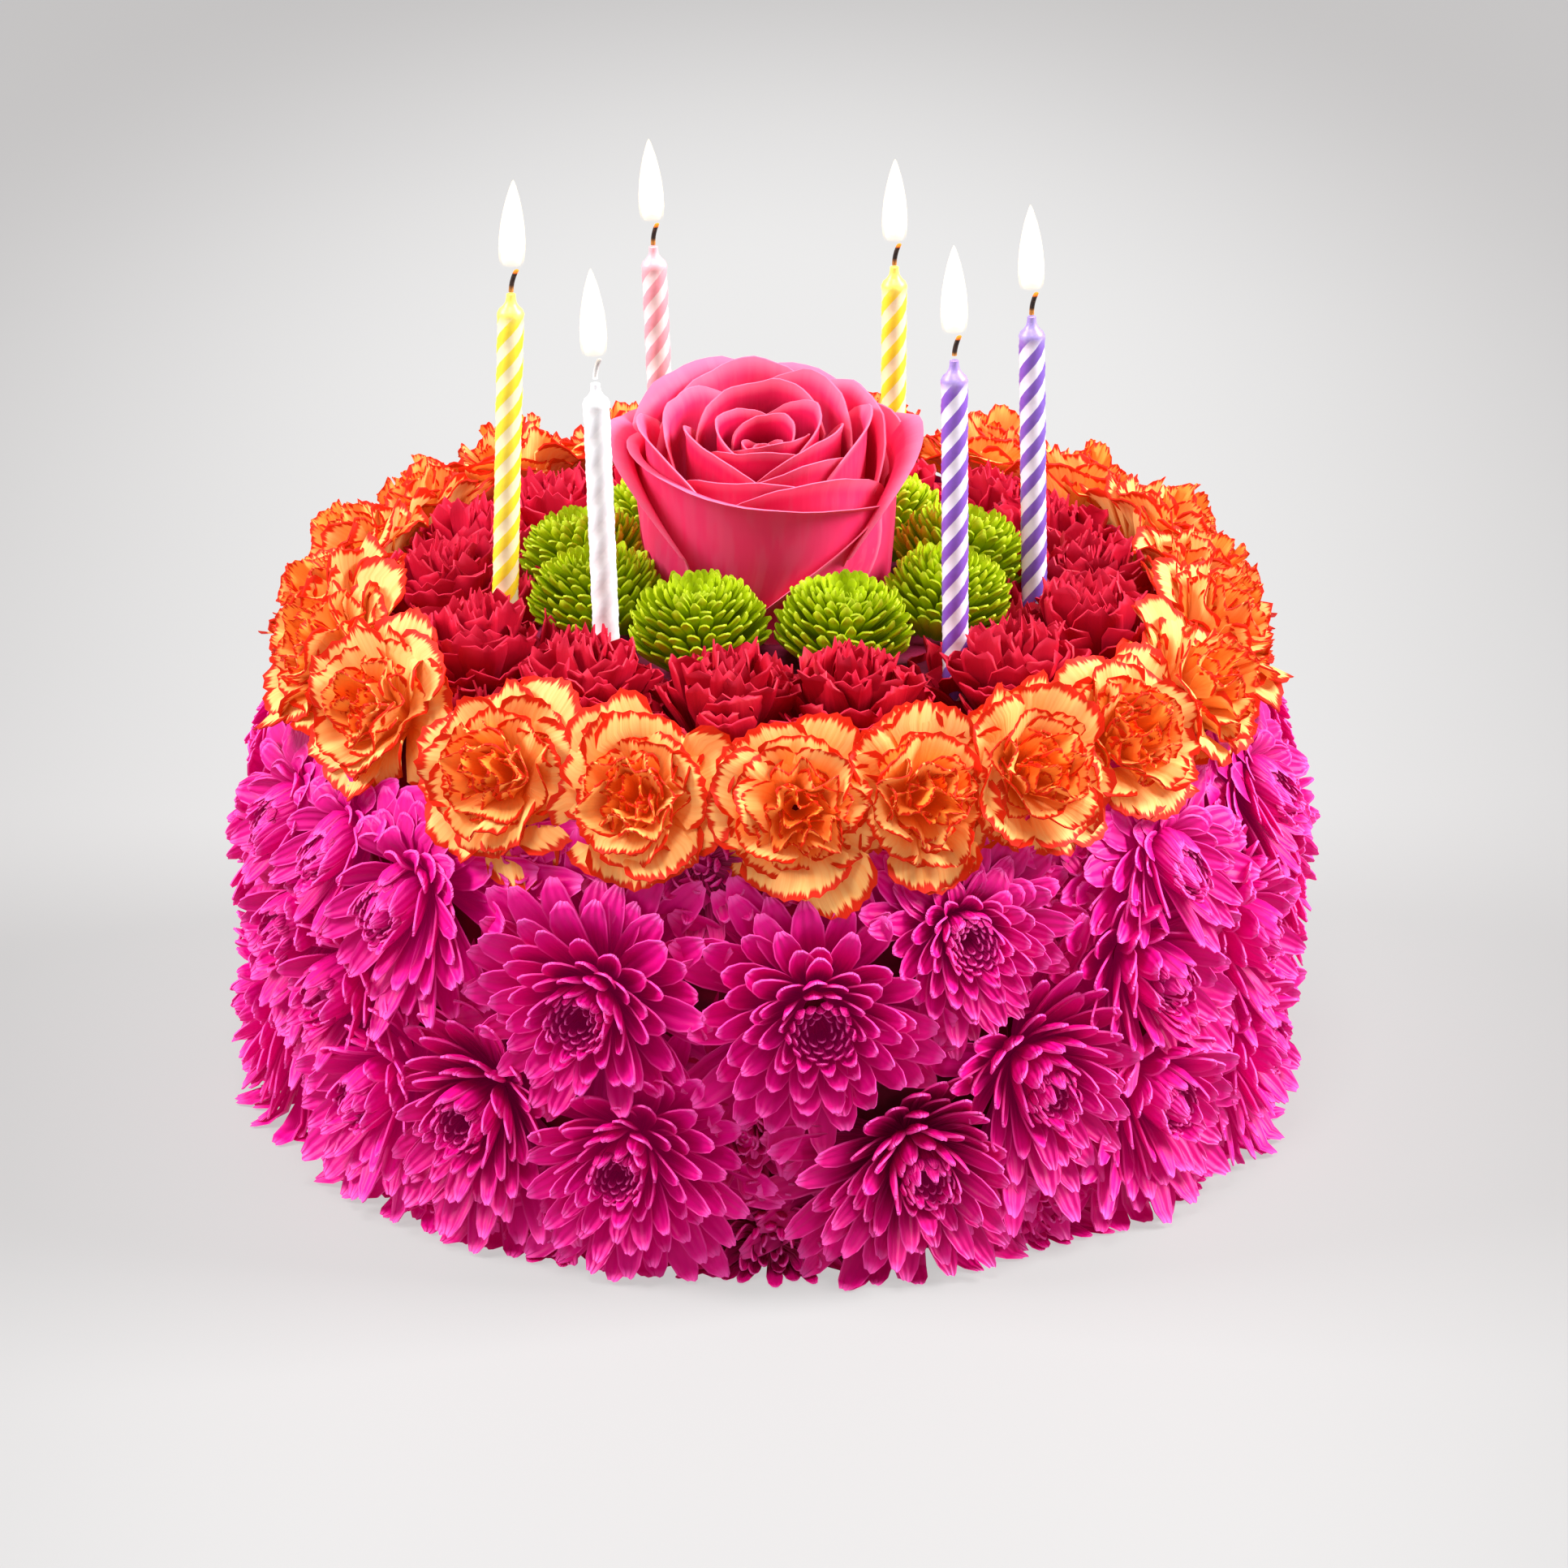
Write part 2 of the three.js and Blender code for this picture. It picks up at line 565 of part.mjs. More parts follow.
// ---- Rose ------------------------------------------------------------------------------------
// A point of a petal: across runs from -1 to 1 over its span, up from 0 at the foot to 1 at the
// rim, and inward is the distance inside its outer face.
function rosePoint({ faces, spans, foot, rim, from, top, curl, drop }, across, up, inward) {
  const angle = THREE.MathUtils.degToRad(faces + 0.5 * spans * across);
  const edge = 1 - drop * Math.abs(across) ** 2.6;
  const lip = curl * (Math.max(0, up - 0.7) / 0.3) ** 1.5;
  const radius = foot + (rim - curl - foot) * Math.sin(0.5 * Math.PI * up) + lip;
  const height = from + (top - from) * up * edge - 0.3 * lip;
  return around(angle, radius - inward, height);
}

// A petal as a thin closed sheet, the same grid of corners on both of its faces.
function rosePetal(petal) {
  const sheet = closed(new THREE.BoxGeometry(2, 1, 1, ROSE_COLUMNS, ROSE_ROWS, 1));
  return solid(shaped(sheet, (p) => {
    p.copy(rosePoint(petal, p.x, p.y + 0.5, (0.5 - p.z) * ROSE_PETAL_THICKNESS));
  }));
}

const roseHeart = solid(turned(ROSE_HEART, 16));
const rose = piece("rose", joined([roseHeart, ...ROSE_PETALS.map(rosePetal)]), petalMaterial(0xe8376f));
rose.geometry.translate(0, 0, -ROSE_LEAN_AT);
rose.rotation.x = THREE.MathUtils.degToRad(ROSE_LEAN);
rose.position.copy(ROSE_PLACE).setZ(ROSE_LEAN_AT);
cake.add(rose);

export default cake;
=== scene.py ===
# %% [markdown]
# # A birthday cake made of fresh flowers
# The cake is a squat round arrangement: a wall of magenta chrysanthemums, a frill of orange
# carnations, a ring of crimson carnations, a ring of green button chrysanthemums and a rose in
# the middle, with six twisted candles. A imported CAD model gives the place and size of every
# flower. This lesson dresses each of its solids with real petals.

import math

import bpy
import numpy as np
from mathutils import Matrix, Vector


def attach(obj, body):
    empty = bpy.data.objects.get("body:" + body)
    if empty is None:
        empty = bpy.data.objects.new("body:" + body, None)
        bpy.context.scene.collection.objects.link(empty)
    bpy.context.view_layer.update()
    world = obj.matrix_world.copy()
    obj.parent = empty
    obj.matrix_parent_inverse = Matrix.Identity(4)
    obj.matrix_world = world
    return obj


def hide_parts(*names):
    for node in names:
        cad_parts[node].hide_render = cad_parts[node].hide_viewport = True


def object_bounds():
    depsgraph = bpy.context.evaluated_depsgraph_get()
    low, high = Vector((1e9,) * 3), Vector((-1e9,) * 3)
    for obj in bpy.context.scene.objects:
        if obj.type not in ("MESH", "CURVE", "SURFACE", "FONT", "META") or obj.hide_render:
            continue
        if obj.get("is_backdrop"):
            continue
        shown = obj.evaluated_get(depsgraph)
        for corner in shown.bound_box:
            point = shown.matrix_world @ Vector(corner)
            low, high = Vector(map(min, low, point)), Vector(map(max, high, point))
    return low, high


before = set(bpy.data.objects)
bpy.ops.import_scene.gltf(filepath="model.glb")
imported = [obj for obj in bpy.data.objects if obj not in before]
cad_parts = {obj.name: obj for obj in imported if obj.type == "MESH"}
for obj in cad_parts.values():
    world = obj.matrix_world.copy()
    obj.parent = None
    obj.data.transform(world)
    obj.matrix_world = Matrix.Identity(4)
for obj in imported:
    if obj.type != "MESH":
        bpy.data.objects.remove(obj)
cad_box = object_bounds()
print("packed nodes:", len(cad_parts))

# %% [markdown]
# ## Where things stand
# All lengths below are in millimetres and are turned to metres when a mesh is made. An angle is
# measured round the cake from the front, -Y, towards the right, +X. The CAD scatters its flowers
# with a fixed formula, so the same formula puts each flower back on its own solid.

# %% Places round the cake
MM = 0.001
FULL_TURN = 2 * math.pi
CREASE = math.radians(50)  # edges sharper than this stay sharp


def vary(n):
    """A fixed scatter from -1 to 1, the same each time for the same number."""
    s = math.sin(n * 12.9898 + 4.1414) * 43758.5453
    return 2 * (s - math.floor(s)) - 1


def round_from(given, count):
    """The given angles, then evenly spaced ones through the rest of the circle."""
    step = (given[0] + 360 - given[-1]) / (count - len(given) + 1)
    return given + [given[-1] + step * (k + 1) for k in range(count - len(given))]


def sine(angle):
    """The sine of an angle in degrees: how far to the right something stands."""
    return math.sin(math.radians(angle))


def behind(angle):
    """0 for something right in front, 1 for something right at the back."""
    return 0.5 - 0.5 * math.cos(math.radians(angle))


def station(angle, radius, height, facing, spin):
    """Puts a flower that grows along +Z on a circle: facing 0 looks outwards, 90 looks up."""
    place = Matrix.Rotation(math.radians(angle), 4, "Z")
    place = place @ Matrix.Translation((0, -radius, height))
    place = place @ Matrix.Rotation(math.radians(90 - facing), 4, "X")
    return place @ Matrix.Rotation(math.radians(spin), 4, "Z")


# %% [markdown]
# ## Camera, light and floor
# The camera looks down at the cake from 21 degrees, through a long lens, so the round top shows
# as a flat ellipse. Big soft lamps stand for a bright studio. The floor runs up into the backdrop
# in one curve, so there is no hard line behind the flowers. It glows faintly, a painted light that
# is brightest near the cake and fades away from it, which keeps the shadows light.

# %% Show things, and place the camera
def shown(name, data):
    """A new object in the scene."""
    thing = bpy.data.objects.new(name, data)
    bpy.context.scene.collection.objects.link(thing)
    return thing


CAMERA_TARGET = Vector((2.3, 0, 64)) * MM
CAMERA_DISTANCE = 1.2
CAMERA_ELEVATION = math.radians(21)

camera_data = bpy.data.cameras.new("camera")
camera_data.sensor_width = 36
camera_data.lens = 134.16
camera_data.clip_end = 50
camera = shown("camera", camera_data)
back = Vector((0, -math.cos(CAMERA_ELEVATION), math.sin(CAMERA_ELEVATION)))
camera.location = CAMERA_TARGET + CAMERA_DISTANCE * back
camera.rotation_euler = (math.radians(90) - CAMERA_ELEVATION, 0, 0)
bpy.context.scene.camera = camera
print("camera at", [round(x, 3) for x in camera.location])


# %% Soft studio lamps
def soft_lamp(name, place, size, watts, tint=(1, 1, 1)):
    """A square area lamp that looks at the cake."""
    data = bpy.data.lights.new(name, "AREA")
    data.size = size
    data.energy = watts
    data.color = tint
    lamp = shown(name, data)
    lamp.location = place
    lamp.rotation_euler = (Vector((0, 0, 0.07)) - lamp.location).to_track_quat("-Z", "Y").to_euler()


soft_lamp("left_lamp", Vector((-3.0, -0.1, 2.1)), 1.6, 180, (1, 0.97, 1))
soft_lamp("right_lamp", Vector((3.0, 0.1, 2.1)), 1.6, 262, (1, 0.97, 0.99))
soft_lamp("top_lamp", Vector((-0.3, -1.3, 3.3)), 1.0, 60)

world = bpy.data.worlds.new("studio")
world.use_nodes = True
background = world.node_tree.nodes["Background"].inputs
background["Color"].default_value = (1, 0.995, 0.985, 1)
background["Strength"].default_value = 0.38
bpy.context.scene.world = world
bpy.context.scene.view_settings.view_transform = "Standard"
print("lamps:", len(bpy.data.lights))

# %% [markdown]
# ## A way to write materials
# Shader maths is easier to read as a sum than as a web of nodes. A wire stands for one socket of
# a material, and the signs + - * on it add Math nodes. Every other node comes from one method.


# %% Wires
class Wire:
    """A socket of a material, on which sums can be written."""

    def __init__(self, tree, socket):
        self.tree = tree
        self.socket = socket

    def node(self, kind, settings, sockets, output=0):
        """Adds a shader node, sets it, plugs values or wires into it, and gives one output."""
        new = self.tree.nodes.new("ShaderNode" + kind)
        for name, value in settings.items():
            setattr(new, name, value)
        for name, value in sockets.items():
            if isinstance(value, Wire):
                self.tree.links.new(value.socket, new.inputs[name])
            else:
                new.inputs[name].default_value = value
        return Wire(self.tree, new.outputs[output])

    def math(self, operation, *values):
        return self.node("Math", {"operation": operation}, dict(enumerate(values)))

    def __add__(self, other):
        return self.math("ADD", self, other)

    __radd__ = __add__

    def __sub__(self, other):
        return self.math("SUBTRACT", self, other)

    def __rsub__(self, other):
        return self.math("SUBTRACT", other, self)

    def __mul__(self, other):
        return self.math("MULTIPLY", self, other)

    __rmul__ = __mul__

    def number(self, index):
        """One of the three numbers of a vector."""
        return self.node("SeparateXYZ", {}, {0: self}, index)

    def absolute(self):
        return self.math("ABSOLUTE", self)

    def larger(self, other):
        return self.math("MAXIMUM", self, other)

    def step(self, low, high):
        """A soft step from 0 at low to 1 at high."""
        names = {"Value": self, "From Min": low, "From Max": high}
        return self.node("MapRange", {"interpolation_type": "SMOOTHSTEP"}, names)

    def tint(self, first, second):
        """A colour that runs from the first, at 0, to the second, at 1.

        Three plain numbers are a screen colour, and four are the linear colour itself."""
        ends = {0: self, 6: colour(first), 7: colour(second)}
        return self.node("Mix", {"data_type": "RGBA"}, ends, 2)


def colour(value):
    """Turns three numbers, a screen colour from 0 to 255, into the linear colour a shader takes."""
    if not isinstance(value, tuple) or len(value) != 3:
        return value
    screen = [c / 255 for c in value]
    return (*[((c + 0.055) / 1.055) ** 2.4 if c > 0.04 else c / 12.92 for c in screen], 1)


# %% A new material with its useful wires
class Finish:
    """A material, with wires for what its petals know about themselves."""

    def __init__(self, name, **sockets):
        self.material = bpy.data.materials.new(name)
        self.material.use_nodes = True
        self.tree = self.material.node_tree
        self.shader = self.tree.nodes["Principled BSDF"]
        for key, value in sockets.items():
            self.shader.inputs[key.replace("_", " ")].default_value = colour(value)
        self.material.cycles.emission_sampling = "NONE"
        start = Wire(self.tree, None)
        self.place = start.node("TexCoord", {}, {}, "Object")
        self.uv = start.node("UVMap", {"uv_map": "UVMap"}, {})
        self.across = self.uv.number(0)
        self.along = self.uv.number(1)
        # The third tag shifts a petal's colour; on the chrysanthemums and crimson carnations it also
        # carries painted light and shade.
        tag = start.node("Attribute", {"attribute_name": "petal"}, {}, "Vector")
        self.chance, self.reach, self.tone = (tag.number(index) for index in range(3))
        self.side = (self.across - 0.5) * 2

    def noise(self, scale, detail=2.0, vector=None):
        """Cloudy noise from 0 to 1, on the object's own coordinates unless told otherwise."""
        sockets = {"Vector": vector or self.place, "Scale": scale, "Detail": detail}
        return self.place.node("TexNoise", {}, sockets)

    def streaks(self, across, along):
        """Fine noise drawn out along the petal, different on each petal."""
        stretch = {"operation": "MULTIPLY"}
        drawn = self.uv.node("VectorMath", stretch, {0: self.uv, 1: (across, along, 1)})
        shift = self.uv.node("CombineXYZ", {}, {0: self.chance * 37, 1: self.chance * 91, 2: 0})
        moved = self.uv.node("VectorMath", {"operation": "ADD"}, {0: drawn, 1: shift})
        return self.noise(1.0, 2.0, moved)

    def link(self, wire, socket):
        """Plugs a wire into a socket of the shader."""
        self.tree.links.new(wire.socket, self.shader.inputs[socket])

    def paint(self, base, rough=None, height=None, depth=0.0002):
        """Links the colour, the roughness and the relief to the shader."""
        self.link(base, "Base Color")
        if rough is not None:
            self.link(rough, "Roughness")
        if height is not None:
            bump = height.node("Bump", {}, {"Height": height, "Distance": depth, "Strength": 0.5})
            self.link(bump, "Normal")
        return self.material


# %% Floor and backdrop
def pick(thing, test):
    """In edit mode, selects the points whose place passes the test."""
    bpy.ops.object.mode_set(mode="OBJECT")
    for part in (thing.data.polygons, thing.data.edges, thing.data.vertices):
        part.foreach_set("select", [False] * len(part))
    for point in thing.data.vertices:
        point.select = test(point.co)
    bpy.ops.object.mode_set(mode="EDIT")


bpy.ops.object.select_all(action="DESELECT")
bpy.ops.mesh.primitive_plane_add(size=8, location=(0, 0, 0))
floor = bpy.context.object
floor.name = "floor"
bpy.ops.object.mode_set(mode="EDIT")
bpy.ops.mesh.select_mode(type="VERT")
pick(floor, lambda co: co.y > 3.9)
bpy.ops.mesh.extrude_region_move(TRANSFORM_OT_translate={"value": (0, 0, 4)})
pick(floor, lambda co: co.y > 3.9 and co.z < 0.1)
bpy.ops.mesh.bevel(offset=2.0, segments=16, affect="EDGES")
bpy.ops.object.mode_set(mode="OBJECT")
bpy.ops.object.shade_smooth()
floor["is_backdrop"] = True

floor_finish = Finish("pale_floor", Roughness=0.7, Emission_Strength=0.52)
floor_x = floor_finish.place.number(0)
floor_y = floor_finish.place.number(1)
floor_aside = floor_x * 1.6
floor_behind = 0.75 * (floor_y - 0.45).larger(0)
floor_away = floor_x.math("SQRT", floor_aside * floor_aside + floor_behind * floor_behind)
# painted light: the floor glows, brightest near the cake, which lightens the shadows on it
floor_shine = floor_away.step(0.1, 0.5).tint((255, 255, 254), (186, 184, 183))
floor_finish.link(floor_shine, "Emission Color")
floor_cloud = floor_finish.noise(3.0)
floor.data.materials.append(floor_finish.paint(floor_cloud.tint((94, 94, 94), (98, 98, 97))))
print("floor points:", len(floor.data.vertices))

# %% [markdown]
# ## Petals
# A flower's petals are all the same thing: a thin strap with a rounded tip. So a petal is modelled
# once, lying flat: a grid is drawn in or out row by row, the tip is shaped, and a Solidify modifier
# gives it a body. Its copies are then bent, cupped and twisted. A petal is made of few faces,
# because it is repeated thousands of times.

# %% Model a petal flat
def flat_petal(columns, outline, teeth=0.0, point=0.0):
    """Models a petal lying flat, as wide as -1 to 1 and as long as 0 to 1.

    The outline has a (share of the length, share of the width) for each row of points."""
    rows = len(outline) - 1
    bpy.ops.object.select_all(action="DESELECT")
    bpy.ops.mesh.primitive_grid_add(x_subdivisions=columns, y_subdivisions=rows, size=2)
    petal = bpy.context.object
    bpy.ops.object.mode_set(mode="EDIT")
    bpy.ops.mesh.select_mode(type="VERT")
    aside = 10
    for row, (along, width) in enumerate(outline):
        level = 2 * row / rows - 1
        pick(petal, lambda co: abs(co.y - level) < 0.01)
        bpy.ops.transform.resize(value=(width, 1, 1), center_override=(0, 0, 0))
        bpy.ops.transform.translate(value=(0, aside + along - level, 0))
    tip = aside + outline[-1][0]
    half = 2 * outline[-1][1] / columns
    if teeth:
        pick(petal, lambda co: co.y > tip - 0.001 and not round((co.x + outline[-1][1]) / half) % 2)
        bpy.ops.transform.translate(value=(0, -teeth, 0))
    if point:
        pick(petal, lambda co: co.y > tip - 0.001 and abs(co.x) < 0.5 * half)
        bpy.ops.transform.translate(value=(0, point, 0))
    bpy.ops.mesh.select_all(action="SELECT")
    bpy.ops.transform.translate(value=(0, -aside, 0))
    bpy.ops.object.mode_set(mode="OBJECT")
    body = petal.modifiers.new("body", "SOLIDIFY")
    body.thickness = 1
    body.offset = 0
    bpy.ops.object.modifier_apply(modifier="body")
    return petal


# %% Read a flat petal into arrays
def read(items, key, width, kind=float):
    """One property of many points, corners or faces as an array, a row for each."""
    values = np.zeros(width * len(items), kind)
    items.foreach_get(key, values)
    return values.reshape(-1, width) if width > 1 else values


class Petal:
    """A flat petal as arrays: its points, the corners of its faces, and its UV map."""

    def __init__(self, columns, outline, **shape):
        thing = flat_petal(columns, outline, **shape)
        mesh = thing.data
        self.points = read(mesh.vertices, "co", 3)
        self.corners = read(mesh.loops, "vertex_index", 1, int)
        self.sizes = read(mesh.polygons, "loop_total", 1, int)
        self.uv = read(mesh.uv_layers[0].data, "uv", 2)
        rows = np.linspace(0, 1, len(outline))
        self.uv[:, 1] = np.interp(self.uv[:, 1], rows, [along for along, width in outline])
        self.triangles = int((self.sizes - 2).sum())
        bpy.data.objects.remove(thing)


STRAP_EDGE = [(0, 0.42), (0.34, 0.75), (0.6, 0.98), (0.79, 0.99), (0.92, 0.76), (1, 0.34)]
STRAP = Petal(3, STRAP_EDGE, point=0.018)
SLIP = Petal(2, [(0, 0.5), (0.4, 0.85), (0.7, 1), (0.9, 0.8), (1, 0.3)], point=0.01)
SPECK = Petal(2, [(0, 0.7), (0.5, 1), (0.82, 0.85), (1, 0.25)])
FAN = Petal(12, [(0, 0.12), (0.36, 0.5), (0.74, 0.95), (1, 0.97)], teeth=0.035)
TULIP = Petal(6, [(0, 0.3), (0.35, 0.65), (0.68, 1), (0.9, 0.9), (1, 0.62)], teeth=0.05, point=0.05)
print("triangles a petal:", [p.triangles for p in (STRAP, SLIP, SPECK, FAN, TULIP)])


# %% Bend petals
def bent(petal, foot, arch, tip, half_width, cup, thickness=0.4, twist=0.0, round_by=0.0, ruffle=0.0,
         waves=0.0, phase=0.0, spoon=0.0):
    """Bends copies of a flat petal, one for each tip, in a head's own (out, side, up).

    foot, arch and tip are (out, up) pairs: the petal leaves its foot towards its arch and comes
    to its tip. cup lifts its sides, twist turns it in degrees, spoon lifts its very tip."""
    count = len(tip[0])

    def column(values):
        return np.broadcast_to(np.asarray(values, float), count)[:, None]

    foot, arch, tip = (np.stack([column(v) for v in spot], 2) for spot in (foot, arch, tip))
    x, y, z = petal.points.T
    s = (y - round_by * x * x * y)[None, :, None]
    path = (1 - s) ** 2 * foot + 2 * s * (1 - s) * arch + s * s * tip
    ahead = 2 * (1 - s) * (arch - foot) + 2 * s * (tip - arch)
    ahead /= np.linalg.norm(ahead, axis=2, keepdims=True)
    s = s[:, :, 0]
    width = column(half_width)
    across = x * width
    lift = column(cup) * width * x * x + column(thickness) * z
    lift = lift + column(ruffle) * s * s * np.sin(column(waves) * x + column(phase))
    lift = lift + column(spoon) * np.maximum(0, s - 0.6) ** 2
    turn = np.radians(column(twist)) * s
    side = across * np.cos(turn) - lift * np.sin(turn)
    rise = across * np.sin(turn) + lift * np.cos(turn)
    out = path[:, :, 0] - rise * ahead[:, :, 1]
    up = path[:, :, 1] + rise * ahead[:, :, 0]
    return np.stack([out, side, up], axis=2)


def whorled(points, turns):
    """Turns petals from (out, side, up) to their places round the head's own +Z."""
    turn = np.asarray(turns, float)[:, None]
    out, side, up = points[:, :, 0], points[:, :, 1], points[:, :, 2]
    x = out * np.cos(turn) + side * np.sin(turn)
    y = out * np.sin(turn) - side * np.cos(turn)
    return np.stack([x, y, up], axis=2)


def placed(points, matrix):
    """Moves points by a matrix."""
    m = np.array(matrix)
    return points @ m[:3, :3].T + m[:3, 3]


def whorl_turns(rng, whorl, count, scatter, spin=0.0):
    """Angles round a head, a little scattered. Every second whorl stands in the gaps."""
    even = spin + FULL_TURN * (np.arange(count) + 0.5 * (whorl % 2)) / count
    return even + rng.uniform(-scatter, scatter, count) * FULL_TURN / count


def tagged(chance, reach=0.0, tone=0.0):
    """What each petal knows about itself, a row for each."""
    return np.stack(np.broadcast_arrays(chance, reach, tone), 1)


def all_placed(batches, matrix):
    """Batches of petals, moved by a matrix."""
    return [(petal, placed(points, matrix), tags) for petal, points, tags in batches]


# %% Join petals into a piece
def tag_points(mesh, tags):
    """Writes what each point's petal knows about itself, for its material to read."""
    mesh.attributes.new("petal", "FLOAT_VECTOR", "POINT").data.foreach_set("vector", tags.ravel())


def flower(name, batches, finish, slot, *nodes):
    """Makes one mesh of batches of (petal, points, tags), and lets it stand for CAD nodes."""
    heap, first = [], 0
    for petal, places, tag in batches:
        count, each = len(places), len(petal.points)
        starts = first + each * np.arange(count)
        heap.append((
            places.reshape(-1, 3), (starts[:, None] + petal.corners).ravel(), np.tile(petal.sizes, count),
            np.tile(petal.uv, (count, 1)), np.repeat(np.asarray(tag, float), each, axis=0),
        ))
        first += each * count
    points, corners, sizes, uvs, tags = (np.concatenate(part) for part in zip(*heap))
    mesh = bpy.data.meshes.new(name)
    mesh.vertices.add(len(points))
    mesh.vertices.foreach_set("co", (points * MM).ravel())
    mesh.loops.add(len(corners))
    mesh.loops.foreach_set("vertex_index", corners)
    mesh.polygons.add(len(sizes))
    mesh.polygons.foreach_set("loop_start", np.concatenate([[0], np.cumsum(sizes)[:-1]]))
    mesh.uv_layers.new(name="UVMap").data.foreach_set("uv", uvs.ravel())
    tag_points(mesh, tags)
    mesh.update(calc_edges=True)
    mesh.materials.append(finish)
    thing = shown(name, mesh)
    bpy.ops.object.select_all(action="DESELECT")
    bpy.context.view_layer.objects.active = thing
    thing.select_set(True)
    bpy.ops.object.shade_smooth_by_angle(angle=CREASE)
    adopt(thing, slot, *nodes)
    print(name, "petals:", sum(len(b[1]) for b in batches), "triangles:", int((sizes - 2).sum()))
    return thing


def adopt(thing, slot, *nodes):
    """Lets a piece move with the cake and stand for CAD nodes."""
    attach(thing, "root")
    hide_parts(*nodes)


# %% [markdown]
# ## The bed under the flowers
# The flowers are stuck into a squat drum of foam. It is painted dark crimson, a painted shade that
# shows between the petals. It is turned like a bowl: a circle is extruded and resized from ring to
# ring.

# %% Turn a round shape
def turned(name, sides, profile, twist=0.0):
    """Extrudes and resizes a circle along (radius, height) points, with a twist in degrees a mm."""
    bpy.ops.object.select_all(action="DESELECT")
    radius, height = profile[0]
    bpy.ops.mesh.primitive_circle_add(
        vertices=sides, radius=radius * MM, fill_type="NGON", location=(0, 0, height * MM)
    )
    thing = bpy.context.object
    thing.name = name
    bpy.ops.object.transform_apply(location=True)
    bpy.ops.object.mode_set(mode="EDIT")
    bpy.ops.mesh.select_mode(type="FACE")
    bpy.ops.mesh.select_all(action="SELECT")
    for wide, high in profile[1:]:
        rise = high - height
        bpy.ops.mesh.extrude_region_move(TRANSFORM_OT_translate={"value": (0, 0, rise * MM)})
        grow = wide / radius
        bpy.ops.transform.resize(value=(grow, grow, 1), center_override=(0, 0, high * MM))
        if twist:
            bpy.ops.transform.rotate(
                value=-math.radians(twist * rise), orient_axis="Z", center_override=(0, 0, 0)
            )
        radius, height = wide, high
    bpy.ops.mesh.select_all(action="SELECT")
    bpy.ops.mesh.normals_make_consistent(inside=False)
    bpy.ops.object.mode_set(mode="OBJECT")
    bpy.ops.object.shade_smooth_by_angle(angle=CREASE)
    return thing


BED_PROFILE = [
    (1, 0.2), (92, 0.2), (94, 3), (94, 76), (90, 82), (82, 89), (60, 97), (48, 103), (1, 103),
]
bed = turned("flower_bed", 64, BED_PROFILE)
# painted shade: the foam is coloured like the deep shade between the petals, mottled a little
bed_finish = Finish("bed_painted_shade", Roughness=0.9)
bed_shade_mottle = bed_finish.noise(90.0, 3.0).step(0.35, 0.65)
bed.data.materials.append(
    bed_finish.paint(bed_shade_mottle.tint((150, 0, 66), (96, 4, 40)), None, bed_finish.noise(300.0), 0.001)
)
adopt(bed, "petals_magenta", "chrysanthemum_wall")

# %% [markdown]
# ## Chrysanthemum wall
# Thirty-nine heads are pressed into a wall, with small ones deep in the gaps. A head has nine
# whorls of straps. The outer ones lie nearly flat, and towards the middle they grow narrow and
# stand up, until the heart is a tuft of specks round a dark hole. Heads at the sides are shaggy:
# their petals are broader and stand out further, and the inner ones close over the heart. Each
# head is laid out on the unrolled wall and wrapped round the drum, climbing a little to the back.
# Where heads meet, a petal that a neighbour would hide is left out, but the others may cross.
# Petals let some light through, which a faint glow stands for, strongest at the sides. Their
# colour also carries painted light and shade: heads at the sides are painted lighter, and low heads
# at the front and the small heads deep in the gaps are painted darker.

# %% Heads of the wall
WALL_HEADS = [
    (5, 55, 28.5), (-20, 55, 27), (21, 70, 23), (30, 38, 25), (46, 53, 25), (47, 27, 24), (50, 73, 23),
    (16, 25, 23), (-16, 25, 24), (-34, 30, 25), (-45, 68, 26), (-57, 72, 24), (-55, 45, 25),
]
WALL_ROWS = [(70, 310, 9, 25, 25), (66, 293, 9, 49, 26), (76, 288, 8, 71, 25)]
WALL_RADIUS = 104
WALL_DEPTH = 92
WALL_CLIMB = 0.14

wall_heads = list(WALL_HEADS)
for row, (start, end, heads, height, radius) in enumerate(WALL_ROWS):
    for k in range(heads):
        n = 10 * row + k
        angle = start + (end - start) * k / (heads - 1) + 2 * vary(n)
        wall_heads.append((angle, height + 3 * vary(n + 40), radius + vary(n + 80)))
LAP = FULL_TURN * WALL_RADIUS


def unrolled_distance(u, v, head):
    """How far a place on the unrolled wall is from the middle of a head."""
    du = u - WALL_RADIUS * math.radians(head[0])
    return np.hypot(du - LAP * np.round(du / LAP), v - head[1])


# %% Small heads deep in the gaps
BIG_HEADS = len(wall_heads)
GAP_DEPTH = 5
spots_u, spots_v = np.meshgrid(np.arange(0, LAP, 3.0), np.arange(7, 86, 3.0))
while True:
    rooms = [unrolled_distance(spots_u, spots_v, head) - 0.8 * head[2] for head in wall_heads]
    room = np.min(rooms, axis=0)
    widest = np.unravel_index(np.argmax(room), room.shape)
    if room[widest] < 3.5:
        break
    wall_heads.append((math.degrees(spots_u[widest] / WALL_RADIUS), spots_v[widest], 9 + room[widest]))
print("chrysanthemum heads:", BIG_HEADS, "big and", len(wall_heads) - BIG_HEADS, "small")

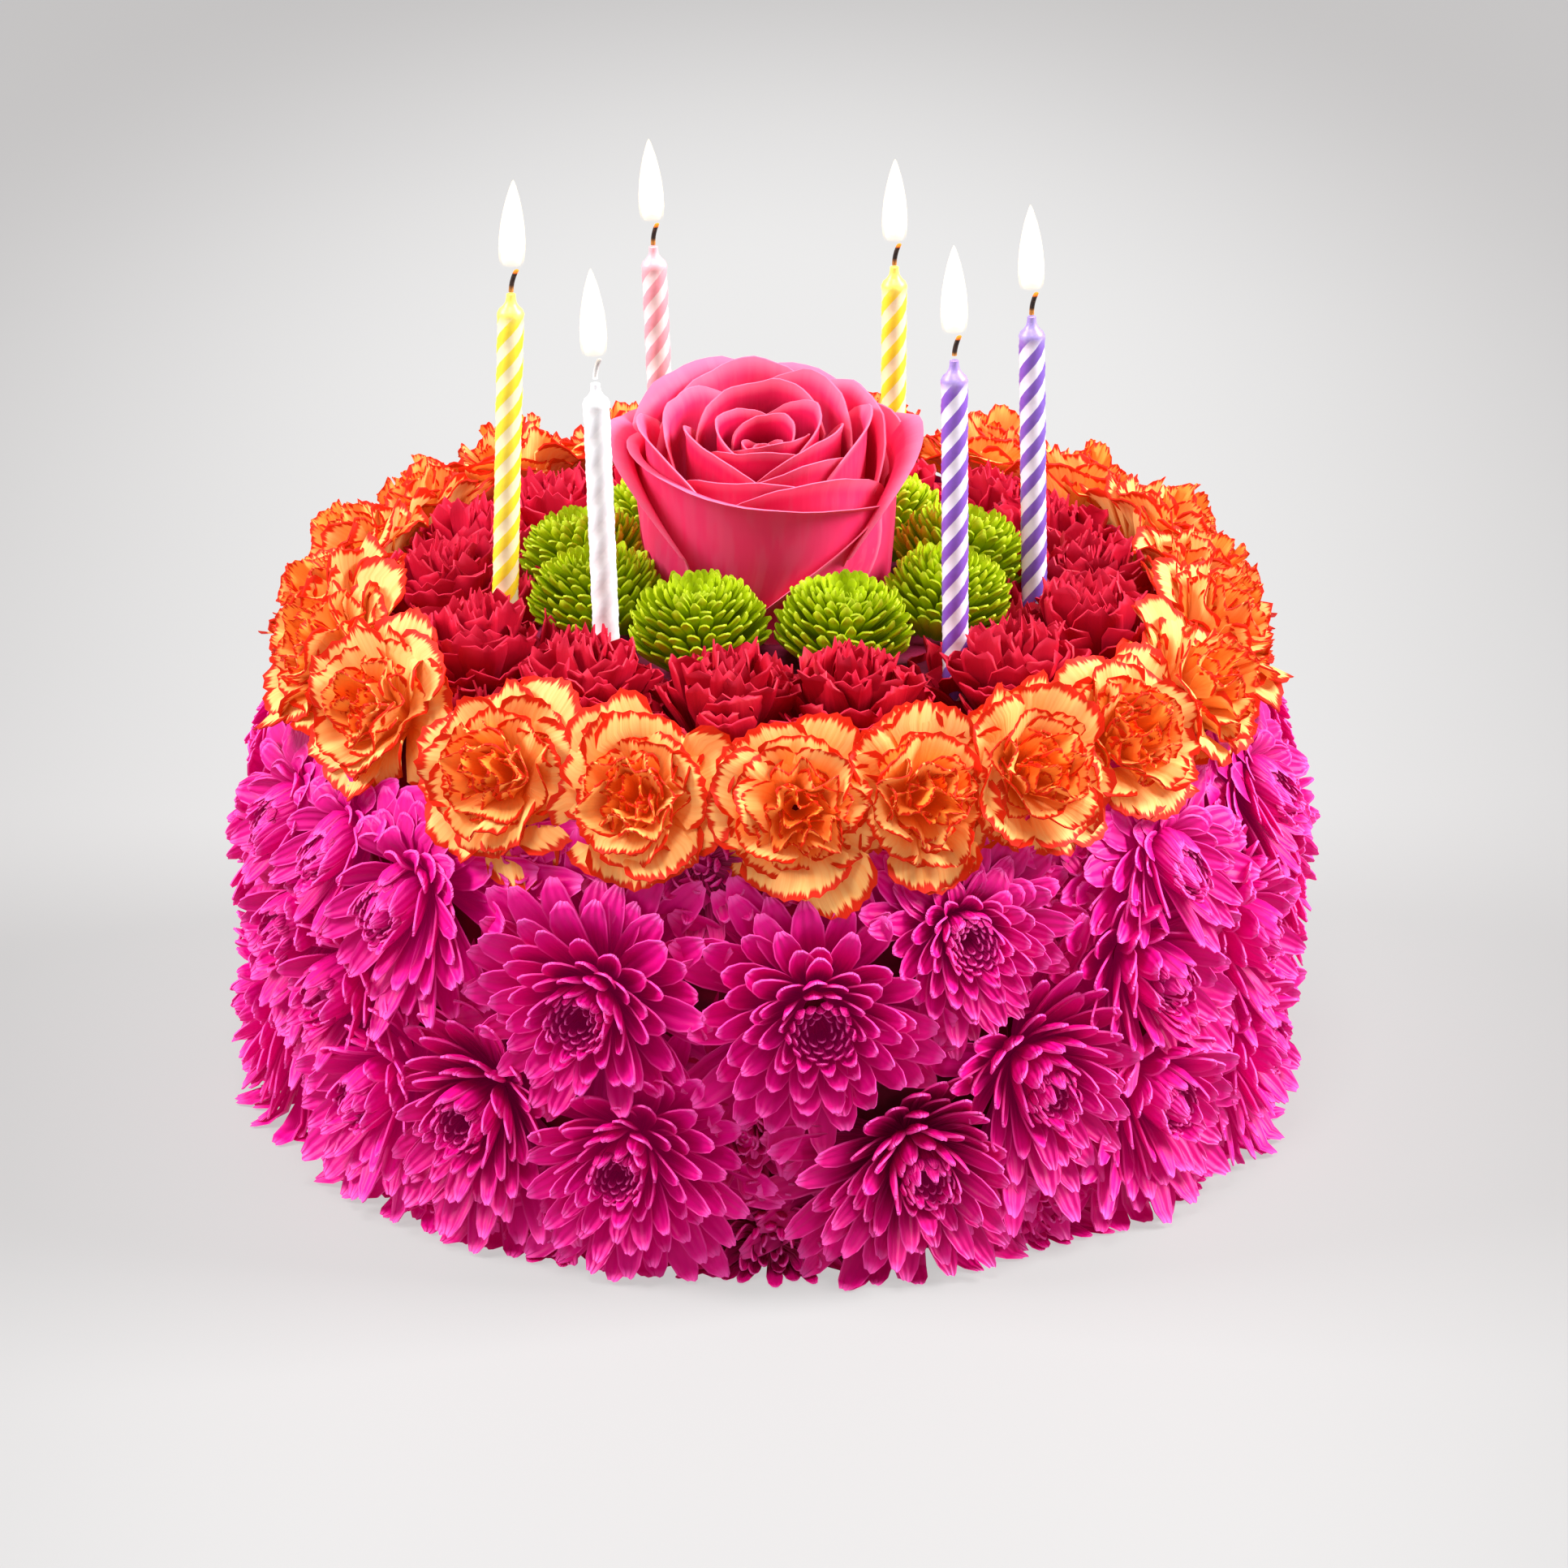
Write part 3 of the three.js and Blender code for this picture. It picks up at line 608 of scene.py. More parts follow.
# %% Lay out the straps of the wall
MUM_WHORLS = [  # reach, petals, width, lift of the tips
    (1.52, 21, 7.0, 1.5), (1.32, 21, 6.8, 4.0), (1.14, 20, 6.5, 7.2), (0.98, 20, 6.1, 10.6),
    (0.83, 19, 5.7, 13.8), (0.68, 17, 5.2, 16.4), (0.54, 15, 4.7, 18.4), (0.41, 12, 4.1, 19.4),
    (0.30, 10, 3.3, 19.5),
]
SMALL_WHORLS = [
    (1.50, 15, 6.4, 2.5), (1.25, 15, 6.2, 5.0), (1.02, 14, 5.8, 8.0), (0.82, 13, 5.2, 10.5),
    (0.64, 12, 4.6, 12.2), (0.48, 10, 4.2, 13.4), (0.34, 9, 3.4, 14.0), (0.22, 7, 2.8, 14.2),
    (0.11, 5, 2.2, 13.8),
]
HEART_SPECKS = 40
HEART_REACH = 0.235
HEAD_HEIGHT = 20
SAG = 4  # how far the top of a shaggy head hangs down
GOLDEN_TURN = math.radians(137.508)


def how_shaggy(index, angle):
    """0 for the neat head in the middle, 1 for heads at the sides, whose petals sag over the heart."""
    if index == 0:
        return 0
    if abs(sine(angle)) > 0.7:
        return 1
    return 0.65 + 0.35 * vary(index + 620)


def mum_petals(index, head):
    """The petals of one head as batches on the unrolled wall: out along u, up along v, and lift."""
    rng = np.random.default_rng(100 + index)
    angle, height, radius = head
    big = index < BIG_HEADS
    size = radius / 25 if big else 0.9
    sink, darker = (0, 0) if big else (GAP_DEPTH, 0.35)
    spin = math.pi * vary(index + 160)
    shaggy = how_shaggy(index, angle)
    aside = min(1, 1.2 * abs(sine(angle)))
    # Painted light and shade: heads at the sides are painted lighter, low heads at the front and small
    # heads deep in the gaps darker; the rest varies at random.
    tone = 0.3 + 0.25 * vary(index + 700) + 0.45 * aside - 0.2 * (height < 35) * (1 - aside) - darker
    lean_in, widen = (0.8, 1.12) if shaggy == 1 else (0.45 * shaggy, 1)
    rivals = [other for other in wall_heads[:BIG_HEADS] if other is not head]
    batches = []
    for k, (reach, count, width, lift) in enumerate(MUM_WHORLS if big else SMALL_WHORLS):
        turn = whorl_turns(rng, k, count, 0.28, spin)
        out = reach * radius * (1 + 0.1 * shaggy) * (1 + rng.uniform(-0.09 - 0.06 * shaggy, 0.09, count))
        stand = 2.5 * shaggy * min(1, reach) ** 2 * (lift < 16)
        uneven = 1.2 * (0.4 + min(1, reach) + 0.9 * shaggy)
        up = lift - sink + stand + rng.uniform(-uneven, uneven, count)
        u = WALL_RADIUS * math.radians(angle) + out * np.cos(turn)
        v = height + out * np.sin(turn)
        seen = (v > -6) & (v < 90)
        clear = out / radius - 0.3 if reach <= 1.05 else 0.72
        for other in rivals:
            seen &= unrolled_distance(u, v, other) / other[2] > (clear if big else 0.7)
        open_wide = min(1, max(0, (reach - 0.3) / 0.25))
        foot = (0.1 * radius, 1.5 + 5 * max(0, 1 - reach))
        rise = math.radians(np.interp(reach, [0.25, 0.5, 0.8, 1.0, 1.3], [84, 60, 38, 22, 5]))
        half = 0.5 * np.hypot(out, up)
        arch = (out - half * math.cos(rise), up - half * math.sin(rise))
        tip = (out * (1 - lean_in * (1 - open_wide)), up)
        strap = STRAP if big and reach > 0.4 else SLIP
        twist = rng.uniform(-7, 7, count) + (rng.random(count) < 0.04) * rng.uniform(-40, 40, count)
        bends = bent(
            strap, foot, arch, tip, 0.5 * width * size * widen * rng.uniform(0.86, 1.1, count),
            cup=rng.uniform(0.2, 0.42, count) + 0.25 * max(0, 1 - reach),
            twist=twist, spoon=rng.uniform(2, 20, count) * min(1, reach),
        )
        bends = whorled(bends, turn)
        bends[:, :, 1] -= SAG * shaggy * np.maximum(0, bends[:, :, 2] / HEAD_HEIGHT) ** 2
        tags = tagged(rng.random(count), reach + 0.2 * shaggy, tone)
        batches.append((strap, bends[seen], tags[seen]))
    if not big:
        return batches
    n = np.arange(HEART_SPECKS)
    reach = HEART_REACH * np.sqrt((n + 5) / (HEART_SPECKS + 4))
    out = reach * radius
    up = 15.0 + 4.0 * (reach / HEART_REACH) ** 1.5 + rng.uniform(-0.4, 0.4, HEART_SPECKS)
    foot, arch, tip = (out * 0.7, up - 4.5), (out * 1.25, up - 1.5), (out * 0.86, up)
    bends = bent(SPECK, foot, arch, tip, (0.55 + 2.2 * reach) * size, cup=0.5, thickness=0.35)
    bends = whorled(bends, GOLDEN_TURN * n)
    bends[:, :, 1] -= SAG * shaggy * (bends[:, :, 2] / HEAD_HEIGHT) ** 2
    batches.append((SPECK, bends, tagged(rng.random(HEART_SPECKS), reach, 0.5)))
    return batches


def on_wall(points, head):
    """Wraps a head's petals from the unrolled wall round the drum, and rests them on the table."""
    u = WALL_RADIUS * math.radians(head[0]) + points[:, :, 0]
    v = head[1] + points[:, :, 1]
    lift = points[:, :, 2]
    cap = np.interp(v, [56, 70, 80, 95], [60, 20, 7, 2])
    lift = np.where(lift > 0, cap * np.tanh(lift / cap), lift)
    rest = 1.4
    sunk = np.maximum(0, rest - v)
    lift = lift + 0.5 * sunk
    v = np.where(v < rest, 0.3 + (rest - 0.3) * np.exp((v - rest) / 3), v)
    around, out = u / WALL_RADIUS, WALL_DEPTH + lift
    v = v * (1 + WALL_CLIMB * (0.5 - 0.5 * np.cos(around)))
    return np.stack([out * np.sin(around), -out * np.cos(around), v], 2)


# %% Paint the chrysanthemum petals
mum = Finish("chrysanthemum_petals", Specular_IOR_Level=0.2, Emission_Strength=0.15)
# The rim and tip of each petal are paler, partly its own paler edge and partly a painted highlight.
mum_rim = mum.side.absolute().step(0.84, 1.0)
mum_tip = mum.along.step(0.93, 1.0)
mum_pale_edge_and_highlight = (0.6 * mum_rim * mum.along.step(0.4, 0.8)).larger(mum_tip)
mum_streak = mum.streaks(9, 1.2)
# painted shade: each petal is darker towards its foot, where the petals lie over one another; on heads at
# the sides the foot is painted lighter
mum_shaded_foot = mum.tone.tint((86, 0, 2), (176, 0, 84))
mum_body = mum.along.step(0.42, 0.98).tint(mum_shaded_foot, (230, 0, 128))
mum_warm = (mum_streak.step(0.3, 0.75) * 0.7).tint(mum_body, (214, 0, 118))
# painted light: heads at the sides are painted paler and more violet
mum_warm = (mum.tone * 0.55).tint(mum_warm, (206, 8, 136))
# painted shade: the heart of each head is darker, as shade in its hollow, and less so on heads painted
# lighter at the sides
mum_heart_shade = (1 - mum.reach.step(0.08, 0.3)) * (0.95 - 0.7 * mum.tone)
mum_base = mum_heart_shade.tint(mum_warm, (112, 0, 28))
mum_base = (mum_pale_edge_and_highlight * 0.5).tint(mum_base, (254, 108, 204))
mum_groove = mum.side.math("COSINE", mum.side * 9.4) * (1 - mum_rim) + mum_streak
mum_glow = mum.tone.tint((50, 0, 0), (226, 0, 128))
mum.link(mum_glow, "Emission Color")
mum_finish = mum.paint(mum_base, 0.38 + 0.2 * mum_streak, mum_groove, 0.00018)

# %% Make the wall in five pieces
WALL_SIDES = {
    "front_left": (-62, 0), "front_right": (0, 62), "right": (62, 140), "back": (140, 220),
    "left": (220, 298),
}
for side, (start, end) in WALL_SIDES.items():
    batches = []
    for index, head in enumerate(wall_heads):
        if (head[0] - start) % 360 < end - start:
            for petal, points, tags in mum_petals(index, head):
                if len(points):
                    batches.append((petal, on_wall(points, head), tags))
    flower("chrysanthemums_" + side, batches, mum_finish, "petals_magenta", "chrysanthemum_wall")

# %% [markdown]
# ## Orange carnations
# A carnation is a bunch of fans. Each petal is narrow at its foot and wide at its rim, which is
# cut into small teeth and thrown into waves. The outer fans lie open, and the inner ones are
# crumpled together. Peach petals have a fiery rim that feathers inwards. The ring climbs towards
# the back, where its heads look more upwards, and three heads near the front corners are turned
# a little to the front.

# %% Carnation fans
ORANGE_WHORLS = [  # reach, petals, width, lift of the tips, waves
    (1.00, 9, 16.6, 4.0, 1.6), (0.80, 8, 15.6, 7.6, 1.8), (0.62, 8, 12.8, 10.8, 2.1),
    (0.46, 7, 11.4, 13.4, 2.4), (0.31, 6, 9.4, 15.4, 2.3), (0.16, 5, 7.2, 16.2, 1.6),
]


def carnation(rng, radius, spin, whorls, petal, upright=0.0, round_by=0.26, cup=(0.05, 0.35),
              tone=0.0, loose=1.0):
    """The petals of a carnation that grows along +Z."""
    batches = []
    for k, (reach, count, width, lift, waves) in enumerate(whorls):
        turn = whorl_turns(rng, k, count, 0.42, spin)
        out = reach * radius * (1 + loose * rng.uniform(-0.13, 0.09, count))
        up = lift + loose * rng.uniform(-2.0, 1.6, count)
        foot = (0.5 + 1.5 * reach, -3.0)
        lean = (0.66 + 0.4 * upright) - 0.1 * (1 - reach)
        arch = (out * lean, up + 3.5 * reach - 9 * (1 - reach) - 8 * upright)
        bends = bent(
            petal, foot, arch, (out, up), 0.5 * width * rng.uniform(0.85, 1.1, count),
            cup=rng.uniform(*cup, count), round_by=round_by,
            twist=loose * rng.uniform(-20, 20, count) * (1.1 - 0.5 * reach),
            ruffle=waves * rng.uniform(0.6, 1.3, count), waves=rng.uniform(2.6, 6.5 - 1.5 * reach, count),
            phase=rng.uniform(0, 6.28, count), spoon=rng.uniform(-6, 10, count),
        )
        tags = tagged(rng.random(count), reach, tone + 0.3 * rng.random())
        batches.append((petal, whorled(bends, turn), tags))
    return batches


SQUEEZE_ROOM = 1.6  # degrees that petals may reach past halfway to the next head
SQUEEZE = 0.45


def pressed(points, angle, before, after):
    """Squeezes a head's petals between its neighbours in the ring."""
    x, y, z = points[:, :, 0], points[:, :, 1], points[:, :, 2]
    turn = np.degrees(np.arctan2(x, -y)) - angle
    turn = (turn + 180) % 360 - 180
    for gap, sign in ((after - angle, 1), (angle - before, -1)):
        over = np.maximum(0, sign * turn - (0.5 * gap + SQUEEZE_ROOM))
        turn = turn - sign * over * SQUEEZE
    around, out = np.radians(turn + angle), np.hypot(x, y)
    return np.stack([out * np.sin(around), -out * np.cos(around), z], 2)


# %% Paint the orange carnations
# The petals glow faintly, a painted light that lightens their shadows.
orange = Finish(
    "orange_carnation_petals", Specular_IOR_Level=0.16, Emission_Color=(255, 110, 24),
    Emission_Strength=0.06,
)
orange_streak = orange.streaks(20, 0.6)
orange_blotch = orange.streaks(5, 0.4)
orange_corner = 0.14 * orange.side.absolute().step(0.75, 1.0) * orange.along.step(0.4, 0.9)
orange_edge = orange.along + orange_corner + 0.06 * orange.reach.step(0.35, 0.9) - 0.022
orange_edge = orange_edge + (orange_streak - 0.5) * 0.34 + (orange_blotch - 0.5) * 0.1
orange_band = orange_edge.step(0.905, 0.975)
orange_body = orange.reach.step(0.1, 0.7).tint((255, 146, 50), (255, 196, 118))
orange_body = orange.along.step(0.05, 0.5).tint((250, 128, 30), orange_body)
orange_body = (orange_streak.step(0.4, 0.65) * 0.4).tint(orange_body, (252, 150, 62))
orange_base = orange_band.tint(orange_body, (208, 20, 0))
orange_relief = orange_streak + orange.streaks(30, 0.8) * 0.4
orange_finish = orange.paint(orange_base, 0.5 + 0.15 * orange_streak, orange_relief, 0.00025)

# %% Set the orange carnations round the top edge
ORANGE_FRONT = [-58, -34, -15.5, 3, 17.5, 31.5, 49]
ORANGE_HEADS = 21
ORANGE_GLANCE = {0: 15, 1: 7, 6: -12}
ORANGE_RADIUS = 90
ORANGE_ROOT = 93.5
ORANGE_CLIMB = 9  # how much higher the ring is at the back
ORANGE_FACING = 20
ORANGE_FACING_CLIMB = 50  # how many degrees more its heads look up at the back
orange_angles = round_from(ORANGE_FRONT, ORANGE_HEADS)
for n, angle in enumerate(orange_angles):
    rng = np.random.default_rng(300 + n)
    before = orange_angles[-1] - 360 if n == 0 else orange_angles[n - 1]
    after = orange_angles[0] + 360 if n == ORANGE_HEADS - 1 else orange_angles[n + 1]
    radius = ORANGE_RADIUS - 4 * sine(angle) ** 2 + 0.8 * vary(n + 200)
    height = ORANGE_ROOT + ORANGE_CLIMB * behind(angle) + 1.2 * vary(n + 230)
    facing = ORANGE_FACING + ORANGE_FACING_CLIMB * behind(angle) + 7 * vary(n + 260)
    where = station(angle, radius, height, facing, 180 * vary(n + 290))
    middle = Matrix.Translation(where.translation)
    glance = Matrix.Rotation(math.radians(ORANGE_GLANCE.get(n, 0)), 4, "Z")
    where = middle @ glance @ middle.inverted() @ where
    head = carnation(rng, 19.4 + 0.8 * vary(n + 320), 0, ORANGE_WHORLS, FAN, loose=1.6)
    batches = [(p, pressed(q, angle, before, after), t) for p, q, t in all_placed(head, where)]
    flower(f"orange_petals_{n + 1}", batches, orange_finish, "petals_orange", f"orange_carnation_{n + 1}")

# %% [markdown]
# ## Crimson carnations
# These are smaller and tighter. Their petals stand up in folded clusters, with pointed teeth and
# a paler edge. They are packed into one ring with small tufts between them, so the ring is one
# piece.

# %% Paint and set the crimson carnations
CRIMSON_WHORLS = [
    (1.14, 9, 11.0, 6.5, 0.8), (1.00, 9, 11.5, 10.5, 1.1), (0.84, 8, 11.5, 14.0, 1.4),
    (0.66, 8, 11.0, 17.0, 1.6), (0.48, 7, 10.0, 19.0, 1.6), (0.30, 6, 8.6, 20.0, 1.4),
    (0.13, 4, 6.5, 20.0, 0.8),
]
CRIMSON_TUFT = [(1.00, 5, 9.0, 9.0, 0.8), (0.60, 4, 8.0, 12.0, 1.0), (0.20, 3, 6.0, 13.0, 0.8)]
CRIMSON_FRONT = [-92, -62, -34, -7, 14, 45, 72, 95]
CRIMSON_HEADS = 15
CRIMSON_RADIUS = 65.5
CRIMSON_ROOT = 95
UPWARDS = 90  # a head that faces straight up
# The petals glow faintly, a painted light that lightens their shadows.
crimson = Finish(
    "crimson_carnation_petals", Specular_IOR_Level=0.16, Emission_Color=(255, 0, 20),
    Emission_Strength=0.02,
)
crimson_streak = crimson.streaks(10, 1.0)
crimson_body = crimson.along.step(0.4, 0.97).tint((72, 0, 8), (170, 0, 24))
crimson_body = (crimson_streak.step(0.35, 0.7) * 0.5).tint(crimson_body, (178, 0, 30))
# painted light: heads painted lighter are mixed towards pale red
crimson_body = (crimson.tone * 0.6).tint(crimson_body, (226, 30, 72))
crimson_base = (crimson.along.step(0.9, 1.0) * 0.36).tint(crimson_body, (236, 56, 92))
crimson_finish = crimson.paint(crimson_base, 0.42 + 0.2 * crimson_streak, crimson_streak, 0.0002)

crimson_batches = []
for n, angle in enumerate(round_from(CRIMSON_FRONT, CRIMSON_HEADS)):
    rng = np.random.default_rng(500 + n)
    where = station(angle, CRIMSON_RADIUS + 1.5 * vary(n + 400), CRIMSON_ROOT, UPWARDS, 0)
    # painted light: heads towards the back and on the left are painted lighter
    light = 0.7 * behind(angle) + 0.35 * max(0, -sine(angle))
    size, spin = 16.5 + vary(n + 430), math.pi * vary(n + 460)
    head = carnation(rng, size, spin, CRIMSON_WHORLS, TULIP, 0.8, 0.1, (0.3, 0.9), light)
    crimson_batches += all_placed(head, where)
tuft_places = [(20 * n + 5 * vary(n + 480), 52.5 + vary(n + 490), 96) for n in range(18)]
tuft_places += [(angle, 77, 90) for angle in (-77, -48, -20, 3, 29, 58, 84)]
for n, (angle, radius, height) in enumerate(tuft_places):
    rng = np.random.default_rng(600 + n)
    tuft = carnation(rng, 9, math.pi * vary(n + 475), CRIMSON_TUFT, TULIP, 0.8, 0.1, (0.3, 0.9))
    crimson_batches += all_placed(tuft, station(angle, radius, height, UPWARDS, 0))
flower("crimson_petals", crimson_batches, crimson_finish, "petals_crimson", "crimson_carnations")

# %% [markdown]
# ## Green button chrysanthemums
# A button is a tight dome of tiny pointed petals, which close over the middle in a spiral.

# %% Paint and set the green buttons
BUTTON_WHORLS = [
    (1.03, 24, 3.0, 7.5), (1.00, 24, 2.9, 9.8), (0.94, 23, 2.8, 11.8), (0.86, 22, 2.7, 13.5),
    (0.76, 20, 2.6, 14.9), (0.65, 18, 2.5, 15.9), (0.54, 15, 2.3, 16.5), (0.43, 13, 2.1, 16.7),
    (0.32, 10, 1.9, 16.6), (0.21, 8, 1.7, 16.3), (0.11, 5, 1.4, 15.9),
]
# The petals glow faintly, a painted light that lightens their shadows.
button = Finish(
    "green_button_petals", Specular_IOR_Level=0.16, Emission_Color=(180, 200, 0),
    Emission_Strength=0.03,
)
button_streak = button.streaks(5, 1.0)
button_body = button.along.step(0.1, 0.8).tint((64, 84, 0), (174, 196, 4))
button_body = (button_streak.step(0.3, 0.7) * 0.4).tint(button_body, (150, 178, 0))
button_base = (button.along.step(0.8, 1.0) * 0.4).tint(button_body, (200, 216, 56))
button_finish = button.paint(button_base, 0.4 + 0.2 * button_streak, button_streak, 0.0001)

BUTTON_ANGLES = [21, 63, 103, 142, 180, 218, 257, 296, 338]
BUTTON_RADIUS = 37.6
BUTTON_ROOT = 102.5
for n, angle in enumerate(BUTTON_ANGLES):
    rng = np.random.default_rng(700 + n)
    where = station(angle, BUTTON_RADIUS, BUTTON_ROOT, 82 + 5 * vary(n + 500), 180 * vary(n + 530))
    radius = 13.8 + 0.5 * vary(n + 560)
    batches = []
    for k, (reach, count, width, lift) in enumerate(BUTTON_WHORLS):
        turn = whorl_turns(rng, k, count, 0.2)
        out = reach * radius * (1 + rng.uniform(-0.05, 0.04, count))
        up = lift + rng.uniform(-0.6, 0.5, count)
        foot, arch, tip = (0.5 * out, up - 6), (0.86 * out, up - 1.5 * reach), (out, up)
        bends = bent(
            SPECK, foot, arch, tip, 0.5 * width * rng.uniform(0.85, 1.1, count), cup=0.45,
            twist=rng.uniform(-12, 12, count), spoon=rng.uniform(2, 10, count),
        )
        tags = tagged(rng.random(count), reach, rng.random())
        batches.append((SPECK, placed(whorled(bends, turn), where), tags))
    flower(f"button_petals_{n + 1}", batches, button_finish, "petals_green", f"green_button_{n + 1}")

# %% [markdown]
# ## Rose
# The rose stands as a bowl of broad petals wrapped round each other. Each petal is a part of a
# turned wall, whose rim rolls outwards and waves a little. The innermost petals stand lower, so the
# bud is a dark hollow.

# %% Bend the rose petals
BROAD = Petal(22, [(k / 14, 1) for k in range(15)])
ROSE_LEVEL = 100
ROSE_PLACE = Matrix.Translation((-1.6, 1.5, ROSE_LEVEL)) @ Matrix.Rotation(math.radians(8), 4, "X")
ROSE_PETALS = [  # faces, spans, foot, rim, from, top, flare, lip, drop, lean, wave
    (-104, 140, 19, 25.5, 99, 144, 88, 9.0, 0.42, 0.0, 1.3),
    (100, 125, 19, 25.8, 99, 142.5, 90, 8.5, 0.42, 0.0, 1.5),
    (168, 130, 20, 24.6, 99, 146, 60, 6.0, 0.36, 0.0, 1.2),
    (-150, 130, 20, 24.4, 99, 146, 60, 6.0, 0.36, 0.0, 1.2),
    (-24, 176, 23, 25.4, 98, 143.4, 110, 4.0, 0.10, -0.22, 0.7),
    (70, 150, 23.6, 26.2, 98, 144, 70, 4.2, 0.12, 0.95, 0.7),
    (-74, 120, 21.4, 23.6, 104, 145, 54, 4.0, 0.34, 0.0, 1.1),
    (128, 120, 21, 23.0, 104, 146, 54, 4.0, 0.34, 0.0, 1.1),
    (36, 130, 21, 22.8, 104, 143.8, 40, 2.8, 0.30, -0.5, 0.8),
    (-164, 120, 20, 22.0, 106, 146.5, 54, 4.0, 0.34, 0.0, 1.0),
    (-26, 130, 18.6, 20.8, 108, 143.4, 38, 2.6, 0.30, 0.4, 0.9),
    (84, 120, 18, 20.0, 108, 145, 42, 3.0, 0.32, 0.0, 1.0),
    (-112, 120, 17.4, 19.2, 108, 146, 46, 3.0, 0.32, 0.0, 0.9),
    (18, 130, 16.4, 18.0, 110, 143.6, 32, 2.2, 0.28, 0.3, 0.8),
    (150, 120, 15.8, 17.4, 110, 146.6, 42, 2.8, 0.3, 0.0, 0.9),
    (-62, 130, 14.6, 16.0, 112, 144.4, 34, 2.2, 0.28, 0.0, 0.8),
    (56, 140, 13.2, 14.6, 114, 144, 30, 2.0, 0.26, 0.0, 0.7),
    (-172, 150, 12.2, 13.4, 116, 146.4, 34, 2.4, 0.26, 0.0, 0.8),
    (-20, 150, 10.8, 12.0, 118, 143.8, 26, 1.8, 0.24, 0.2, 0.7),
    (110, 160, 9.8, 10.8, 120, 144.4, 30, 2.0, 0.22, 0.0, 0.7),
    (-106, 170, 8.4, 9.4, 120, 143.8, 28, 1.8, 0.2, 0.0, 0.6),
    (22, 180, 7.2, 8.0, 122, 142.4, 20, 1.4, 0.18, 0.0, 0.5),
    (160, 190, 5.6, 6.2, 122, 142.4, 18, 1.4, 0.16, 0.0, 0.5),
    (-60, 200, 4.3, 4.7, 122, 139.6, 10, 1.0, 0.15, 0.0, 0.4),
    (80, 220, 3.0, 3.3, 122, 138.6, 8, 0.9, 0.14, 0.0, 0.3),
    (-150, 240, 1.9, 2.1, 124, 138, 6, 0.8, 0.12, 0.0, 0.2),
]


def rose_petal(shape, seed):
    """One petal of the rose, in the rose's own millimetres about its leaning point."""
    faces, spans, foot, rim, low, top, flare, lip, drop, lean, wave = shape
    x, y, z = BROAD.points.T
    tall = top - low
    widen = 0.2 + 0.8 * np.sin(0.5 * math.pi * np.clip(y / 0.8, 0, 1)) ** 1.3
    slant = np.clip(0.5 - 0.5 * np.sign(lean) * x, 0, 1) ** 1.5
    corner = 1 - drop * np.abs(x) ** 2.4 - 0.6 * np.abs(lean) * slant
    broad = np.sin(2.4 * x + 2.4 * seed) + 0.4 * np.sin(6.3 * x + seed)
    fine = 0.16 * np.sin(13 * x + seed) + 0.1 * np.sin(23 * x)
    ripple = wave * y ** 3 * (broad + fine)
    bend = lip / tall
    body = np.clip(y / (1 - bend), 0, 1)
    curl = np.clip((y - 1 + bend) / bend, 0, 1) * math.radians(flare) * (1 - 0.3 * x * x)
    roll = lip / math.radians(flare)
    reach = foot + (rim - foot) * np.sin(0.5 * math.pi * body) + roll * (1 - np.cos(curl))
    reach = reach + 1.1 * x * (1 - 0.4 * y) + 0.5 * ripple + 0.4 * z
    height = (tall - lip) * body * corner + roll * np.sin(curl)
    turn = np.radians(faces + 0.5 * spans * x * widen)
    points = np.stack([reach * np.sin(turn), -reach * np.cos(turn), low + height + ripple - ROSE_LEVEL], 1)
    return placed(points[None], ROSE_PLACE)


# %% Paint and set the rose
# The petals glow faintly, a painted light that lightens their shadows.
rose = Finish(
    "rose_petals", Specular_IOR_Level=0.2, Emission_Color=(255, 0, 40), Emission_Strength=0.04,
)
rose_streak = rose.streaks(26, 2.5)
rose_cloud = rose.streaks(3, 2)
rose_body = rose.along.step(0.0, 0.85).tint((204, 24, 68), (236, 52, 108))
rose_body = (rose_streak.step(0.45, 0.62) * 0.4).tint(rose_body, (226, 84, 124))
rose_body = (rose_cloud.step(0.4, 0.7) * 0.3).tint(rose_body, (240, 78, 124))
# painted shade: inner petals are darker below their rims, where the petals around them shade them
rose_inner_shaded = rose.along.step(0.7, 1.0).tint((152, 0, 42), (232, 26, 88))
rose_body = (1 - rose.reach.step(0.3, 0.8)).tint(rose_body, rose_inner_shaded)
# The rim of each petal is paler, partly its own paler edge and partly a painted highlight.
rose_pale_edge_and_highlight = rose.along.step(0.9, 1.0).larger(rose.side.absolute().step(0.96, 1.0))
rose_base = (rose_pale_edge_and_highlight * 0.36).tint(rose_body, (254, 160, 190))
rose_finish = rose.paint(rose_base, 0.42 + 0.16 * rose_streak, rose_streak + rose_cloud, 0.0002)

rose_batches = [
    (BROAD, rose_petal(shape, n), [(vary(n + 800) * 0.5 + 0.5, shape[3] / 30, 0.5)])
    for n, shape in enumerate(ROSE_PETALS)
]
flower("rose_petals", rose_batches, rose_finish, "petals_rose", "rose")

# %% [markdown]
# ## Candles
# A birthday candle is a thin rod, drawn through a twisting die so that coloured and pale stripes
# wind round it in shallow flutes. Here a circle is drawn in at three places and extruded upwards
# with a twist. The top has melted to a neck round the wick.

